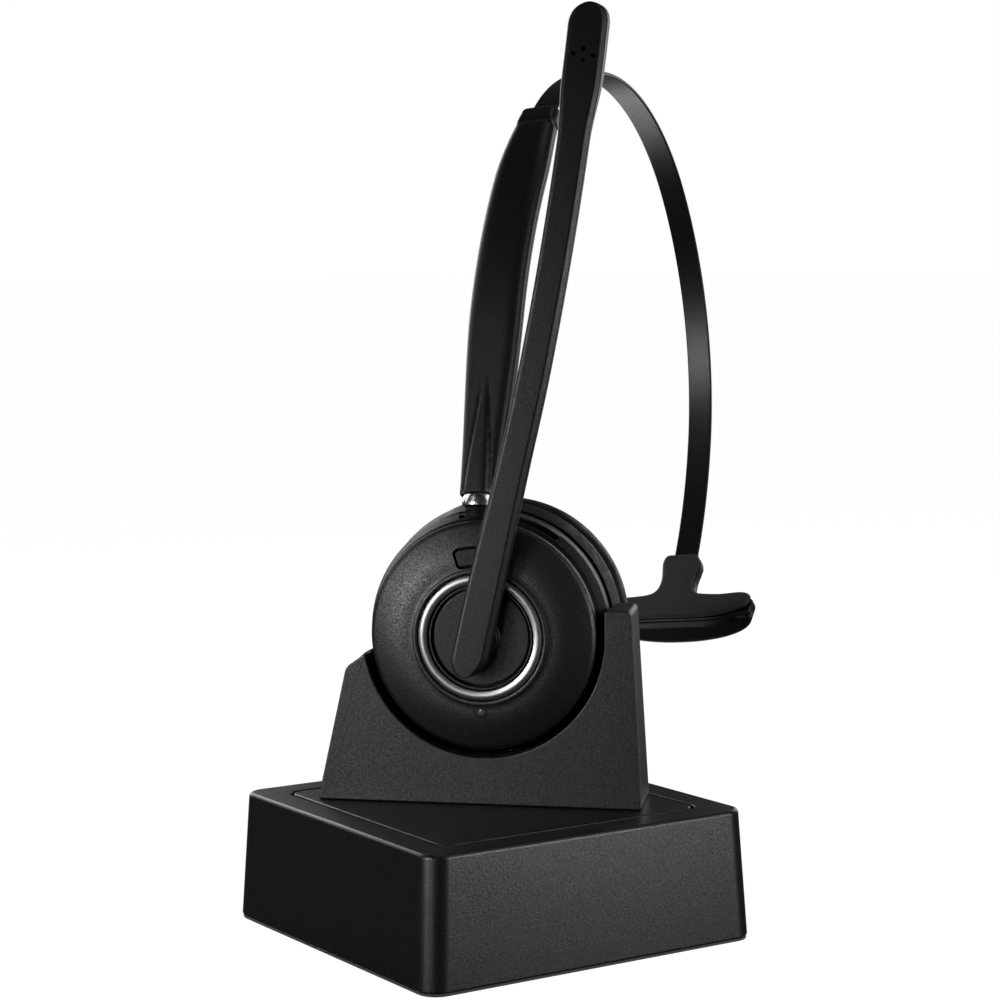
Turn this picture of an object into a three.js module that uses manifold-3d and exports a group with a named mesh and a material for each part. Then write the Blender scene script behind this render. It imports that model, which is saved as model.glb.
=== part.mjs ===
// An office headset with one ear cup, standing in its square charging dock.
// Millimetres, +Z up. The origin is the centre of the dock's underside, and the ear
// cup's outer face looks along -Y. Every mesh is one closed solid.
import * as THREE from 'three';
import { mergeVertices } from 'three/addons/utils/BufferGeometryUtils.js';
import Module from 'manifold-3d';

const wasm = await Module();
wasm.setup();

const deg = THREE.MathUtils.degToRad;
const { sin, cos, asin, PI } = Math;
const GAP = 0.3;

// Dock: a drafted square block, turned so that one corner points forward.
const BASE_BOTTOM = 85;
const BASE_TOP = 82;
const BASE_HEIGHT = 29.2;
const BASE_CORNER = 4.7;
const SKIRT = 0.8;
const WALL = 2.2;
const PLATE = 66.2;
const PLATE_THICK = 2;
const GROOVE = 0.8;
const COVER = 83;
const PAD = 60;
const PAD_THICK = 1.2;
const SCREW_OUT = 33.5;
const INLET_Z = 13.2;

// Cradle: an upright panel across the dock's diagonal, with a round cut-out for the cup.
const CRADLE_FRONT = -6.3;
const CRADLE_PANEL = 1.5;
const CRADLE_REAR = 12.3;
const CRADLE_FOOT_LEFT = 38.2;
const CRADLE_FOOT_RIGHT = 35.4;
const SHOULDER_X = 31.4;
const SHOULDER_Z = 59.5;
const LEFT_TOP = 62.6;
const POST_RIGHT = 33.3;
const POST_TOP = 73.3;
const NECK_RADIUS = 27.3;
const POCKET_RADIUS = 29.2;
const POCKET_FRONT = 0;
const CRADLE_SCREW = { x: 22.6, y: 4, head: 23.6 };
const REAR_LEAN = 0.075;
const SIDE_LEAN = 0.0015;

// Ear cup: everything is turned about one axis that runs front to back.
const CUP_Z = 67.2;
const DISC_RADIUS = 25.5;
const DISC_RIM = -5.6;
const RING_OUTER = 14;
const RING_INNER = 11.9;
const RING_FRONT = -9.2;
const HUB_RADIUS = 10.9;
const HOUSING_RADIUS = 28.2;
const HOUSING_FRONT = -3.2;
const HOUSING_SHOULDER = 4;
const HOUSING_REAR = 12;
const DUST_WALL = 19.3;
const CUSHION_RADIUS = 28;
const AXLE_RADIUS = 2;
const BUTTON = { inner: 15.9, outer: 19.9, half: deg(17.7), front: -8.4, back: -4.4 };
const LED_DROP = 16.5;
const WINDOW = { from: deg(-14), to: deg(37), floor: 22, front: -1.2, rear: 9 };
const CARRIAGE_HALF = deg(7.5);

// Headband: straight arm, then four arcs, measured along the band from the ferrule.
const STEM_Y = 4;
const LEAN = deg(5);
const SWIVEL = deg(13);
const ARCH_START = { inward: -0.7, up: 27, lean: deg(23.6) };
const ARCH = [
  { length: 43, radius: Infinity },
  { length: 58, radius: 137 },
  { length: 103, radius: 56.5 },
  { length: 70, radius: 81 },
  { length: 60, radius: 110 },
];
const FERRULE = { radius: 3.9, from: 0.3, to: 3 };
const ARM = { from: 3.3, to: 101, cap: 106.5, outer: 2.9, inner: 2.5 };
const BAND = { width: 6.6, thick: 1, from: 50, to: 319.6, head: 8.6, headLength: 4 };
const CHANNEL = { from: 46, narrow: 81, wide: 9.2, tight: 7.3, half: 0.8 };

// T-pad: a thin T on the band's end, with a thick rounded bar across its foot.
const PAD_AT = 314.7;
const PAD_BAR = { half: 21.4, out: 7.6, foot: -14.6, top: -9, tilt: deg(14) };

// Boom: a slim lever over the hub, bending upright and inward, with a microphone pod.
const BOOM = { tip: -8.4, top: 138, front: -13.4, bendFrom: 45, slope: 0.225, bend: 0.00152 };
const BOW = { from: 43, depth: 8, over: 100 };
const POD_FROM = 108;

function paint(color, roughness, metalness = 0) {
  return () => new THREE.MeshStandardMaterial({ color, roughness, metalness });
}

const satinBlack = paint(0x17181a, 0.45);
const matteBlack = paint(0x141416, 0.7);
const slateBlack = paint(0x1d1e22, 0.6);
const softBlack = paint(0x1a1918, 0.85);
const leatherette = paint(0x151515, 0.55);
const springSteel = paint(0x111112, 0.35, 0.4);
const bareSteel = paint(0x9a9ca0, 0.4, 0.9);
const silver = paint(0xb9bbbf, 0.3, 1);
const chrome = paint(0xd8dade, 0.08, 1);
const gold = paint(0xc9a24a, 0.3, 1);
const boardGreen = paint(0x1f5b34, 0.6);
const amber = paint(0xc07a2a, 0.3);
const cellGrey = paint(0x8d9298, 0.5);

// --- solids -----------------------------------------------------------------------

// Welds a geometry and turns its faces outward. Geometry that is already welded keeps its index.
function facingOut(geometry) {
  const welded = geometry.index && Object.keys(geometry.attributes).length === 1;
  const bare = geometry.clone();
  for (const name of Object.keys(bare.attributes)) {
    if (name !== 'position') bare.deleteAttribute(name);
  }
  const merged = welded ? bare : mergeVertices(bare, 1e-4);
  const p = merged.attributes.position;
  const index = merged.index.array;
  const [a, b, c] = [new THREE.Vector3(), new THREE.Vector3(), new THREE.Vector3()];
  const kept = [];
  let volume = 0;
  for (let i = 0; i < index.length; i += 3) {
    const [i0, i1, i2] = [index[i], index[i + 1], index[i + 2]];
    if (i0 === i1 || i1 === i2 || i2 === i0) continue;
    kept.push(i0, i1, i2);
    a.fromBufferAttribute(p, i0);
    b.fromBufferAttribute(p, i1);
    c.fromBufferAttribute(p, i2);
    volume += a.dot(b.cross(c));
  }
  if (volume < 0) kept.reverse();
  merged.setIndex(kept);
  return merged;
}

function solid(geometry) {
  const g = facingOut(geometry);
  return new wasm.Manifold(new wasm.Mesh({
    numProp: 3,
    vertProperties: Float32Array.from(g.attributes.position.array),
    triVerts: Uint32Array.from(g.index.array),
  }));
}

function geometryOf(manifold) {
  const mesh = manifold.getMesh();
  const geometry = new THREE.BufferGeometry();
  geometry.setAttribute('position', new THREE.BufferAttribute(mesh.vertProperties, 3));
  geometry.setIndex(new THREE.BufferAttribute(mesh.triVerts, 1));
  return geometry;
}

function join(...geometries) {
  return geometryOf(geometries.map(solid).reduce((sum, next) => sum.add(next)));
}

function cut(body, ...tools) {
  return geometryOf(tools.map(solid).reduce((rest, tool) => rest.subtract(tool), solid(body)));
}

function moved(geometry, { x = 0, y = 0, z = 0, rx = 0, ry = 0, rz = 0 }) {
  return geometry.clone().rotateX(rx).rotateY(ry).rotateZ(rz).translate(x, y, z);
}

function box(x0, x1, y0, y1, z0, z1) {
  return new THREE.BoxGeometry(x1 - x0, y1 - y0, z1 - z0)
    .translate((x0 + x1) / 2, (y0 + y1) / 2, (z0 + z1) / 2);
}

function rod(radius, z0, z1, sides = 20) {
  return new THREE.CylinderGeometry(radius, radius, z1 - z0, sides)
    .rotateX(PI / 2)
    .translate(0, 0, (z0 + z1) / 2);
}

function axial(radius, y0, y1, sides = 24) {
  return new THREE.CylinderGeometry(radius, radius, y1 - y0, sides).translate(0, (y0 + y1) / 2, 0);
}

function turned(profile, sides = 64) {
  const points = [...profile, profile[0]].map(([radius, y]) => new THREE.Vector2(radius, y));
  return new THREE.LatheGeometry(points, sides);
}

// An outline in the XZ plane, made thick from y0 to y1.
function upright(shape, y0, y1, curveSegments = 24) {
  return new THREE.ExtrudeGeometry(shape, { depth: y1 - y0, bevelEnabled: false, curveSegments })
    .rotateX(PI / 2)
    .translate(0, y1, 0);
}

// A piece of a ring about the Y axis; angles run clockwise from straight up.
function sector(inner, outer, from, to, y0, y1) {
  const shape = new THREE.Shape();
  shape.absarc(0, 0, outer, PI / 2 - from, PI / 2 - to, true);
  shape.absarc(0, 0, inner, PI / 2 - to, PI / 2 - from, false);
  return upright(shape, y0, y1);
}

// Rings of points with equal counts, skinned and capped.
function loft(rings) {
  const count = rings[0].length;
  const index = [];
  for (let r = 0; r < rings.length - 1; r++) {
    for (let i = 0; i < count; i++) {
      const next = (i + 1) % count;
      const [a, b] = [r * count + i, r * count + next];
      index.push(a, b, a + count, b, b + count, a + count);
    }
  }
  const last = (rings.length - 1) * count;
  for (let i = 1; i < count - 1; i++) {
    index.push(0, i + 1, i, last, last + i, last + i + 1);
  }
  const geometry = new THREE.BufferGeometry().setFromPoints(rings.flat());
  geometry.setIndex(index);
  return geometry;
}

function steps(from, to, count) {
  return Array.from({ length: count + 1 }, (_, i) => from + ((to - from) * i) / count);
}

function roundedSquare(side, radius) {
  const half = side / 2;
  const reach = half - radius;
  const shape = new THREE.Shape();
  shape.absarc(reach, reach, radius, 0, PI / 2, false);
  shape.absarc(-reach, reach, radius, PI / 2, PI, false);
  shape.absarc(-reach, -reach, radius, PI, 1.5 * PI, false);
  shape.absarc(reach, -reach, radius, 1.5 * PI, 2 * PI, false);
  return shape;
}

function squareRing(side, radius, z) {
  return roundedSquare(side, radius).getPoints(6).slice(0, -1)
    .map(({ x, y }) => new THREE.Vector3(x, y, z));
}

function slab(side, radius, z0, z1) {
  return loft([squareRing(side, radius, z0), squareRing(side, radius, z1)]);
}

// --- dock -------------------------------------------------------------------------

function atCorners(reach, make) {
  return [[1, 1], [-1, 1], [-1, -1], [1, -1]].map(([sx, sy], i) => make(sx * reach, sy * reach, i));
}

// Through holes for the cradle's screws, in the turned frame of the dock.
function cradleScrewHoles() {
  return [-1, 1].map((side) => moved(
    moved(rod(1.7, 20, 32, 12), { x: side * CRADLE_SCREW.x, y: CRADLE_SCREW.y }), { rz: -PI / 4 }));
}

function baseShell() {
  const side = (z) => BASE_BOTTOM + ((BASE_TOP - BASE_BOTTOM) * z) / BASE_HEIGHT;
  const outer = loft([
    squareRing(side(SKIRT), BASE_CORNER, SKIRT),
    squareRing(side(BASE_HEIGHT - 1), BASE_CORNER, BASE_HEIGHT - 1),
    squareRing(side(BASE_HEIGHT) - 0.6, BASE_CORNER - 0.3, BASE_HEIGHT - 0.3),
    squareRing(side(BASE_HEIGHT) - 2, BASE_CORNER - 1, BASE_HEIGHT),
  ]);
  const seat = BASE_HEIGHT - PLATE_THICK - GAP;
  const inner = loft([
    squareRing(side(0) - 2 * WALL, BASE_CORNER - WALL, 0),
    squareRing(side(seat) - 2 * WALL, BASE_CORNER - WALL, seat - WALL),
  ]);
  const recess = slab(PLATE + 2 * GROOVE, 3.9, seat, BASE_HEIGHT + 1);
  const shell = cut(outer, inner, recess, rod(4.5, 20, 30));
  const bosses = atCorners(SCREW_OUT, (x, y) => moved(rod(3.2, 4, seat - 1), { x, y }));
  const holes = atCorners(SCREW_OUT, (x, y) => moved(rod(1.4, 3, 14, 12), { x, y }));
  const inletHole = box(-5, 5, 35, 45, INLET_Z - 2.1, INLET_Z + 2.1);
  return cut(join(shell, ...bosses), ...holes, inletHole, ...cradleScrewHoles());
}

function topPlate() {
  const plate = slab(PLATE, 3.2, BASE_HEIGHT - PLATE_THICK, BASE_HEIGHT);
  return cut(plate, rod(4.5, 20, 30), ...cradleScrewHoles());
}

function bottomCover() {
  const flange = slab(COVER, BASE_CORNER - 1, 0.2, SKIRT - 0.1);
  const plug = slab(BASE_BOTTOM - 2 * WALL - 1, BASE_CORNER - WALL, SKIRT - 0.3, 3.2);
  const recess = slab(PAD + 2 * GAP, 4.3, 0, PAD_THICK + 0.2);
  const boardPosts = [-1, 1].map((s) => moved(rod(2, 3, 9.8, 12), { x: s * 15, y: 27 }));
  const screwHoles = atCorners(SCREW_OUT, (x, y) => moved(
    join(rod(1.7, 0, 5, 12), rod(3, 0, 2, 16)), { x, y }));
  return cut(join(flange, plug, ...boardPosts), recess, ...screwHoles);
}

function usbInlet() {
  const body = box(-4.5, 4.5, 32.5, 40.4, INLET_Z - 1.6, INLET_Z + 1.6);
  const mouth = box(-4.1, 4.1, 34.5, 42, INLET_Z - 1.2, INLET_Z + 1.2);
  const tongue = box(-3.3, 3.3, 34, 39.6, INLET_Z - 0.35, INLET_Z + 0.35);
  return join(cut(body, mouth), tongue);
}

function screw(headZ, length) {
  const head = new THREE.CylinderGeometry(2.6, 1.4, 0.9, 14)
    .rotateX(-PI / 2)
    .translate(0, 0, headZ + 0.45);
  const slot = join(box(-1.6, 1.6, -0.25, 0.25, headZ - 1, headZ + 0.4),
    box(-0.25, 0.25, -1.6, 1.6, headZ - 1, headZ + 0.4));
  return cut(join(head, rod(1.1, headZ + 0.7, headZ + length, 12)), slot);
}

// --- cradle -----------------------------------------------------------------------

// The cradle seen from the front.
function cradleOutline() {
  const shape = new THREE.Shape();
  shape.moveTo(-CRADLE_FOOT_LEFT, BASE_HEIGHT + 0.1);
  shape.lineTo(CRADLE_FOOT_RIGHT, BASE_HEIGHT + 0.1);
  shape.lineTo(POST_RIGHT, POST_TOP);
  shape.lineTo(NECK_RADIUS, POST_TOP);
  shape.absarc(0, CUP_Z, NECK_RADIUS, 0, -PI + asin((CUP_Z - LEFT_TOP) / NECK_RADIUS), true);
  shape.lineTo(-SHOULDER_X, SHOULDER_Z);
  return shape;
}

// The room inside the rear shell, below and beside the pocket.
function cradleHollow() {
  const wall = 1.8;
  const shape = new THREE.Shape();
  shape.moveTo(-CRADLE_FOOT_LEFT + 1.3 * wall, BASE_HEIGHT + wall);
  shape.lineTo(CRADLE_FOOT_RIGHT - wall, BASE_HEIGHT + wall);
  shape.lineTo(POST_RIGHT - 0.7 * wall, SHOULDER_Z - wall);
  shape.lineTo(-SHOULDER_X + wall, SHOULDER_Z - 1.5 * wall);
  const block = upright(shape, CRADLE_FRONT, CRADLE_REAR - 2);
  const cupWall = axial(POCKET_RADIUS + wall, CRADLE_FRONT - 1, CRADLE_REAR, 64);
  return cut(block, moved(cupWall, { z: CUP_Z }));
}

function cradleFront() {
  return upright(cradleOutline(), CRADLE_FRONT, CRADLE_FRONT + CRADLE_PANEL, 40);
}

function leanBack(geometry) {
  const p = geometry.attributes.position;
  const front = CRADLE_FRONT + CRADLE_PANEL + GAP;
  const depth = CRADLE_REAR - front;
  for (let i = 0; i < p.count; i++) {
    const share = (p.getY(i) - front) / depth;
    const rise = p.getZ(i) - BASE_HEIGHT;
    p.setX(i, p.getX(i) * (1 - SIDE_LEAN * share * depth));
    p.setY(i, p.getY(i) - REAR_LEAN * rise * share);
  }
  return geometry;
}

function cradleRear() {
  const front = CRADLE_FRONT + CRADLE_PANEL + GAP;
  const body = upright(cradleOutline(), front, CRADLE_REAR, 40);
  const pocket = new THREE.Shape();
  pocket.absarc(0, CUP_Z, POCKET_RADIUS, PI, 2 * PI, false);
  pocket.lineTo(POCKET_RADIUS, POST_TOP + 5);
  pocket.lineTo(-POCKET_RADIUS, POST_TOP + 5);
  const room = upright(pocket, POCKET_FRONT, CRADLE_REAR + 5, 40);
  const blockHole = box(-8.4, 8.4, 4.6, 9.4, 30, 45);
  const spots = [-1, 1].map((side) => ({ x: side * CRADLE_SCREW.x, y: CRADLE_SCREW.y }));
  const screwHoles = spots.map((spot) => moved(rod(1.2, 25, 36, 12), spot));
  const posts = spots.map((spot) => moved(rod(3, BASE_HEIGHT + 0.5, 37, 16), spot));
  const leaned = leanBack(join(cut(body, cradleHollow()), ...posts));
  return cut(leaned, room, blockHole, ...screwHoles);
}

function chargeBlock() {
  const block = box(-8, 8, 5, 9, 31.5, 37.6);
  return cut(block, ...[-1, 1].map((s) => moved(rod(0.95, 30, 40, 12), { x: s * 4, y: 7 })));
}

function chargePin(side) {
  return moved(join(rod(0.8, 30.8, 38.6, 12), rod(1.3, 30.6, 31.3, 12)), { x: side * 4, y: 7 });
}

// --- ear cup ----------------------------------------------------------------------

function frontPlate() {
  const face = steps(0, 1, 5).map((k) => {
    const radius = DISC_RADIUS - 0.9 - k * (DISC_RADIUS - 0.9 - RING_OUTER - 1.9);
    return [radius, DISC_RIM - 0.7 - 2.3 * sin((k * PI) / 2)];
  });
  const plate = turned([
    [AXLE_RADIUS + GAP, -3.6], [DISC_RADIUS, -3.6], [DISC_RADIUS, DISC_RIM], ...face,
    [RING_OUTER + 1.2, RING_FRONT], [RING_OUTER + 0.4, RING_FRONT], [RING_OUTER + 0.2, -7],
    [RING_INNER - 0.3, -7], [RING_INNER - 0.5, -6], [AXLE_RADIUS + GAP, -6],
  ]);
  const reach = BUTTON.half + 0.02;
  const slot = sector(BUTTON.inner - GAP, BUTTON.outer + GAP, -reach, reach, -12, 0);
  const led = moved(axial(1.3, -12, 0, 16), { z: -LED_DROP });
  return cut(plate, slot, led);
}

function trimRing() {
  return turned([
    [RING_INNER, -7.3], [RING_OUTER - 0.1, -7.3], [RING_OUTER - 0.1, RING_FRONT + 0.3],
    [RING_OUTER - 0.5, RING_FRONT], [RING_INNER + 0.5, RING_FRONT + 0.1], [RING_INNER, RING_FRONT + 0.5],
  ]);
}

function callButton() {
  const cap = sector(BUTTON.inner, BUTTON.outer, -BUTTON.half, BUTTON.half, BUTTON.front, BUTTON.back);
  const edge = cut(turned([[10, -12], [30, -12], [30, -2], [10, -2]]), turned([
    [10, BUTTON.front], [BUTTON.inner, BUTTON.front], [BUTTON.outer, BUTTON.front + 0.5],
    [29, BUTTON.front + 0.5], [29, -3], [10, -3],
  ]));
  return cut(cap, edge);
}

function ledWindow() {
  return moved(join(axial(1.05, -8.2, -4, 16), axial(1.2, -3.4, -4.2, 16)), { z: -LED_DROP });
}

function midHousing() {
  const behind = HOUSING_FRONT + 2.2;
  const shell = turned([
    [AXLE_RADIUS + GAP, HOUSING_FRONT], [DISC_RADIUS - 0.2, HOUSING_FRONT],
    [DISC_RADIUS + 0.9, HOUSING_FRONT + 1], [HOUSING_RADIUS - 0.4, HOUSING_SHOULDER - 1.5],
    [HOUSING_RADIUS, HOUSING_SHOULDER], [HOUSING_RADIUS, HOUSING_REAR], [HOUSING_RADIUS - 1.6, HOUSING_REAR],
    [HOUSING_RADIUS - 1.6, HOUSING_SHOULDER + 0.6], [DISC_RADIUS - 1, behind],
    [DUST_WALL, behind], [DUST_WALL, HOUSING_REAR - 1.5], [DUST_WALL - 0.7, HOUSING_REAR - 1.5],
    [DUST_WALL - 0.7, behind], [AXLE_RADIUS + GAP, behind],
  ], 72);
  const window = sector(WINDOW.floor, 32, WINDOW.from, WINDOW.to, WINDOW.front, WINDOW.rear);
  const contacts = [-1, 1].map((s) => moved(rod(1.7, -30, -25, 12), { x: s * 4, y: 7 }));
  return cut(shell, window, ...contacts);
}

function chargeContact(side) {
  return moved(rod(1.4, -HOUSING_RADIUS + 0.5, -HOUSING_RADIUS + 2, 12), { x: side * 4, y: 7 });
}

function baffle() {
  return turned([
    [13.2, 12.3], [13.2, 10.8], [24.8, 10.8], [24.8, 12.3], [27.4, 12.3], [27.4, 13.6], [14.8, 13.6],
    [14.8, 12.3],
  ]);
}

function earCushion() {
  const bulge = CUSHION_RADIUS - 4.5;
  const outer = steps(-75, 75, 6).map((a) => [bulge + 4.5 * cos(deg(a)), 21.4 + 6 * sin(deg(a))]);
  const crown = steps(75, 160, 4).map((a) => [17.8 + 7 * cos(deg(a)), 24.4 + 5.6 * sin(deg(a))]);
  return turned([[11.6, 14], [24.6, 14], ...outer, ...crown, [11.6, 24.5]], 56);
}

function speakerFoam() {
  return turned([[0, 13.9], [11.2, 13.9], [11.2, 26.6], [9.5, 27.2], [0, 27.2]], 40);
}

function driver() {
  return turned([
    [0, 6.2], [7, 6.2], [7, 8.4], [12.6, 8.4], [12.6, 12.6], [11, 13.2], [0, 13.2],
  ], 40);
}

function carriage() {
  const ring = turned([[19.6, 1.2], [23.4, 1.2], [23.4, 3.2], [19.6, 3.2]]);
  const tab = sector(22, 25.2, -CARRIAGE_HALF, CARRIAGE_HALF, 0.8, 8);
  const post = join(rod(2.1, -3.5, 14, 20), rod(3.4, -2.6, 0.1, 24));
  const stood = moved(post, { rx: -ARCH_START.lean, y: ARCH_START.inward, z: ARCH_START.up });
  const turnedPost = moved(stood, { rz: -SWIVEL });
  return join(moved(join(ring, tab), { y: -STEM_Y }), turnedPost);
}

// --- headband ---------------------------------------------------------------------

// Where the band runs, t millimetres from the ferrule.
function archAt(t) {
  let { inward: y, up: z, lean } = ARCH_START;
  let left = t;
  for (const { length, radius } of ARCH) {
    const run = Math.min(left, length);
    if (radius === Infinity) {
      y += run * sin(lean);
      z += run * cos(lean);
    } else {
      const next = lean + run / radius;
      y += radius * (cos(lean) - cos(next));
      z += radius * (sin(next) - sin(lean));
      lean = next;
    }
    left -= run;
    if (left <= 0) break;
  }
  return {
    at: new THREE.Vector3(0, y, z),
    across: new THREE.Vector3(1, 0, 0),
    outward: new THREE.Vector3(0, -cos(lean), sin(lean)),
    lean,
  };
}

// A section of [across, outward] points carried along the arch.
function alongArch(stations, section) {
  return loft(stations.map((t) => {
    const { at, across, outward } = archAt(t);
    return section(t).map(([a, n]) => at.clone().addScaledVector(across, a).addScaledVector(outward, n));
  }));
}

function strip(halfWidth, low, high) {
  return () => [[-halfWidth, low], [halfWidth, low], [halfWidth, high], [-halfWidth, high]];
}

function armHalfWidth(t) {
  const grow = THREE.MathUtils.smoothstep(t, 0, 48);
  const shrink = THREE.MathUtils.smoothstep(t, 84, ARM.cap + 2);
  return 4.6 + 2 * grow - 1.6 * shrink;
}

// Half of the arm's section: side is +1 for the outer half and -1 for the inner half.
function armSection(side, depth) {
  return (t) => {
    const half = armHalfWidth(t);
    const slim = 1 - 0.35 * THREE.MathUtils.smoothstep(t, 92, ARM.cap + 1);
    const high = depth * slim;
    return [[-half, 0.1], [half, 0.1], [half, high * 0.55], [half - 1.3, high], [-half + 1.3, high],
      [-half, high * 0.55]].map(([a, n]) => [a, side * n]);
  };
}

function bandChannel() {
  const wide = alongArch(steps(CHANNEL.from, CHANNEL.narrow, 8),
    strip(CHANNEL.wide / 2, -CHANNEL.half, CHANNEL.half));
  const tight = alongArch(steps(CHANNEL.narrow - 1, ARM.cap + 4, 8),
    strip(CHANNEL.tight / 2, -CHANNEL.half - 0.2, CHANNEL.half + 0.2));
  return join(wide, tight);
}

function postBore() {
  return moved(rod(2.4, 2, 15, 20), { rx: -ARCH_START.lean, y: ARCH_START.inward, z: ARCH_START.up });
}

function armOuter() {
  const half = alongArch(steps(ARM.from, ARM.to, 22), armSection(1, ARM.outer));
  const rib = alongArch(steps(ARM.from, 34, 10), (t) => {
    const size = 0.6 + 2.9 * (1 - THREE.MathUtils.smoothstep(t, ARM.from, 34));
    return steps(0, 180, 8).map((a) => [size * cos(deg(a)), 1 + (size + 0.6) * sin(deg(a))]);
  });
  return cut(join(half, rib), bandChannel(), postBore());
}

function armInner() {
  const half = alongArch(steps(ARM.from, ARM.to, 22), armSection(-1, ARM.inner));
  return cut(half, bandChannel(), postBore());
}

function armCap() {
  const stations = steps(ARM.to + GAP, ARM.cap, 4);
  const outer = alongArch(stations, armSection(1, ARM.outer));
  const inner = alongArch(stations, armSection(-1, ARM.inner));
  const bridge = alongArch(stations, (t) => strip(armHalfWidth(t) - 0.01, -0.2, 0.2)());
  return cut(join(outer, inner, bridge), bandChannel());
}

function ferrule() {
  const ring = cut(rod(FERRULE.radius, FERRULE.from, FERRULE.to, 36), rod(2.4, 0, 4, 20));
  return moved(ring, { rx: -ARCH_START.lean, y: ARCH_START.inward, z: ARCH_START.up });
}

function bandStrip() {
  const half = BAND.thick / 2;
  const strap = alongArch(steps(BAND.from, BAND.to - 1, 58), strip(BAND.width / 2, -half, half));
  const head = alongArch(steps(BAND.from, BAND.from + BAND.headLength, 2),
    strip(BAND.head / 2, -half, half));
  return join(strap, head);
}

// The T-pad lies flat in the band's end: x across, y outward, z back up the band.
function padOutline() {
  const shape = new THREE.Shape();
  shape.moveTo(-4.5, 5.6);
  shape.lineTo(4.5, 5.6);
  shape.lineTo(5.3, 3.2);
  shape.lineTo(4.4, -2.5);
  shape.bezierCurveTo(4.6, -6.5, 7, -8.3, 13, -8.4);
  shape.lineTo(19, -8.2);
  shape.bezierCurveTo(22.5, -8.4, 23, -11.5, 20.5, -13.4);
  shape.bezierCurveTo(14, -15, 6, -15.4, 0, -15.4);
  shape.bezierCurveTo(-6, -15.4, -14, -15, -20.5, -13.4);
  shape.bezierCurveTo(-23, -11.5, -22.5, -8.4, -19, -8.2);
  shape.lineTo(-13, -8.4);
  shape.bezierCurveTo(-7, -8.3, -4.6, -6.5, -4.4, -2.5);
  shape.lineTo(-5.3, 3.2);
  return shape;
}

function onBandEnd(geometry) {
  const { at, lean } = archAt(PAD_AT);
  return moved(geometry, { rx: -lean + PI }).translate(0, at.y, at.z);
}

// The bar's plan is straight towards the head and elliptical outward; its foot slopes outward.
function padBar() {
  const shape = new THREE.Shape();
  shape.moveTo(-PAD_BAR.half, -1);
  shape.lineTo(PAD_BAR.half, -1);
  shape.absellipse(0, 0, PAD_BAR.half, PAD_BAR.out, 0, PI, false);
  const depth = PAD_BAR.top - PAD_BAR.foot;
  return new THREE.ExtrudeGeometry(shape, { depth, bevelEnabled: false, curveSegments: 24 })
    .translate(0, 1, 0)
    .rotateX(-PAD_BAR.tilt)
    .translate(0, -1, PAD_BAR.foot);
}

function padCore() {
  const plate = join(upright(padOutline(), -1.6, 1.6, 8), padBar());
  const socket = alongArch(steps(PAD_AT - 12, BAND.to - 0.5, 8), strip(BAND.width / 2 + 0.2, -0.75, 0.75));
  return cut(onBandEnd(plate), socket);
}

function padCushion() {
  return onBandEnd(upright(padOutline(), -3.7, -1.9, 8));
}

// --- boom -------------------------------------------------------------------------

function boomLine(z) {
  const past = Math.max(0, z - BOOM.bendFrom);
  const bow = Math.max(0, (z - BOW.from) / BOW.over);
  const aside = 0.7 * (1 - THREE.MathUtils.smoothstep(z, 5, 60));
  return { x: BOOM.slope * z - (BOOM.bend * past * past) / 2 - aside, y: BOOM.front + BOW.depth * bow * bow };
}

function boomHalfWidth(z) {
  const shaft = 4.1 - 0.6 * THREE.MathUtils.smoothstep(z, 5, 45);
  const pod = 0.85 * THREE.MathUtils.smoothstep(z, POD_FROM, POD_FROM + 14);
  const tail = Math.sqrt(THREE.MathUtils.clamp((z - BOOM.tip + 0.8) / 4.5, 0, 1));
  const crown = Math.sqrt(THREE.MathUtils.clamp((BOOM.top - z) / 5, 0.02, 1));
  return (shaft + pod) * tail * crown;
}

function boomThickness(z) {
  return 3.9 - 0.9 * THREE.MathUtils.smoothstep(z, 10, 90) + 2 * THREE.MathUtils.smoothstep(z, POD_FROM, 124);
}

function boomStations() {
  return [...steps(BOOM.tip, 0, 4), ...steps(8, POD_FROM, 14), ...steps(POD_FROM + 4, BOOM.top - 5, 6),
    ...steps(BOOM.top - 4, BOOM.top, 4)];
}

// One half of the boom between two shares of its thickness, 0 at the front face.
function boomPiece(from, to, inset = 0) {
  return loft(boomStations().map((z) => {
    const { x, y } = boomLine(z);
    const half = boomHalfWidth(z) - inset;
    const thick = boomThickness(z);
    const round = Math.min(1.1, half * 0.5);
    const [near, far] = [y + thick * from, y + thick * to];
    const slim = from === 0 ? round : 0;
    const back = to === 1 ? round * 0.6 : 0;
    return [[-half, far - back], [-half + back, far], [half - back, far], [half, far - back],
      [half, near + slim * 0.8], [half - slim, near], [-half + slim, near], [-half, near + slim * 0.8]]
      .map(([a, b]) => new THREE.Vector3(x + a, b, z));
  }));
}

function podRoom() {
  const { x, y } = boomLine(126);
  const room = box(-2.8, 2.8, 1.2, 4.2, -9, 9);
  return moved(room, { x, y, z: 126, ry: 0.09 });
}

function micHoles() {
  const { x, y } = boomLine(126.5);
  const spots = [[0, 1.4, 0.6], [-2.2, 0.4, 0.45], [2.1, -0.2, 0.45], [-0.1, -1.1, 0.45]];
  return spots.map(([dx, dz, r]) => moved(axial(r, -2, 2, 10), { x: x + dx, y, z: 126.5 + dz }));
}

function boomOuter() {
  return cut(boomPiece(0, 0.5), podRoom(), ...micHoles());
}

function boomInner() {
  const voicePort = moved(axial(0.9, 3, 8, 10), { x: boomLine(130).x, y: boomLine(130).y, z: 130 });
  return cut(boomPiece(0.56, 1), podRoom(), voicePort);
}

function micCapsule(z, near) {
  return moved(axial(2, near, near + 1.1, 16), { x: boomLine(z).x, y: boomLine(126).y, z });
}

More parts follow.
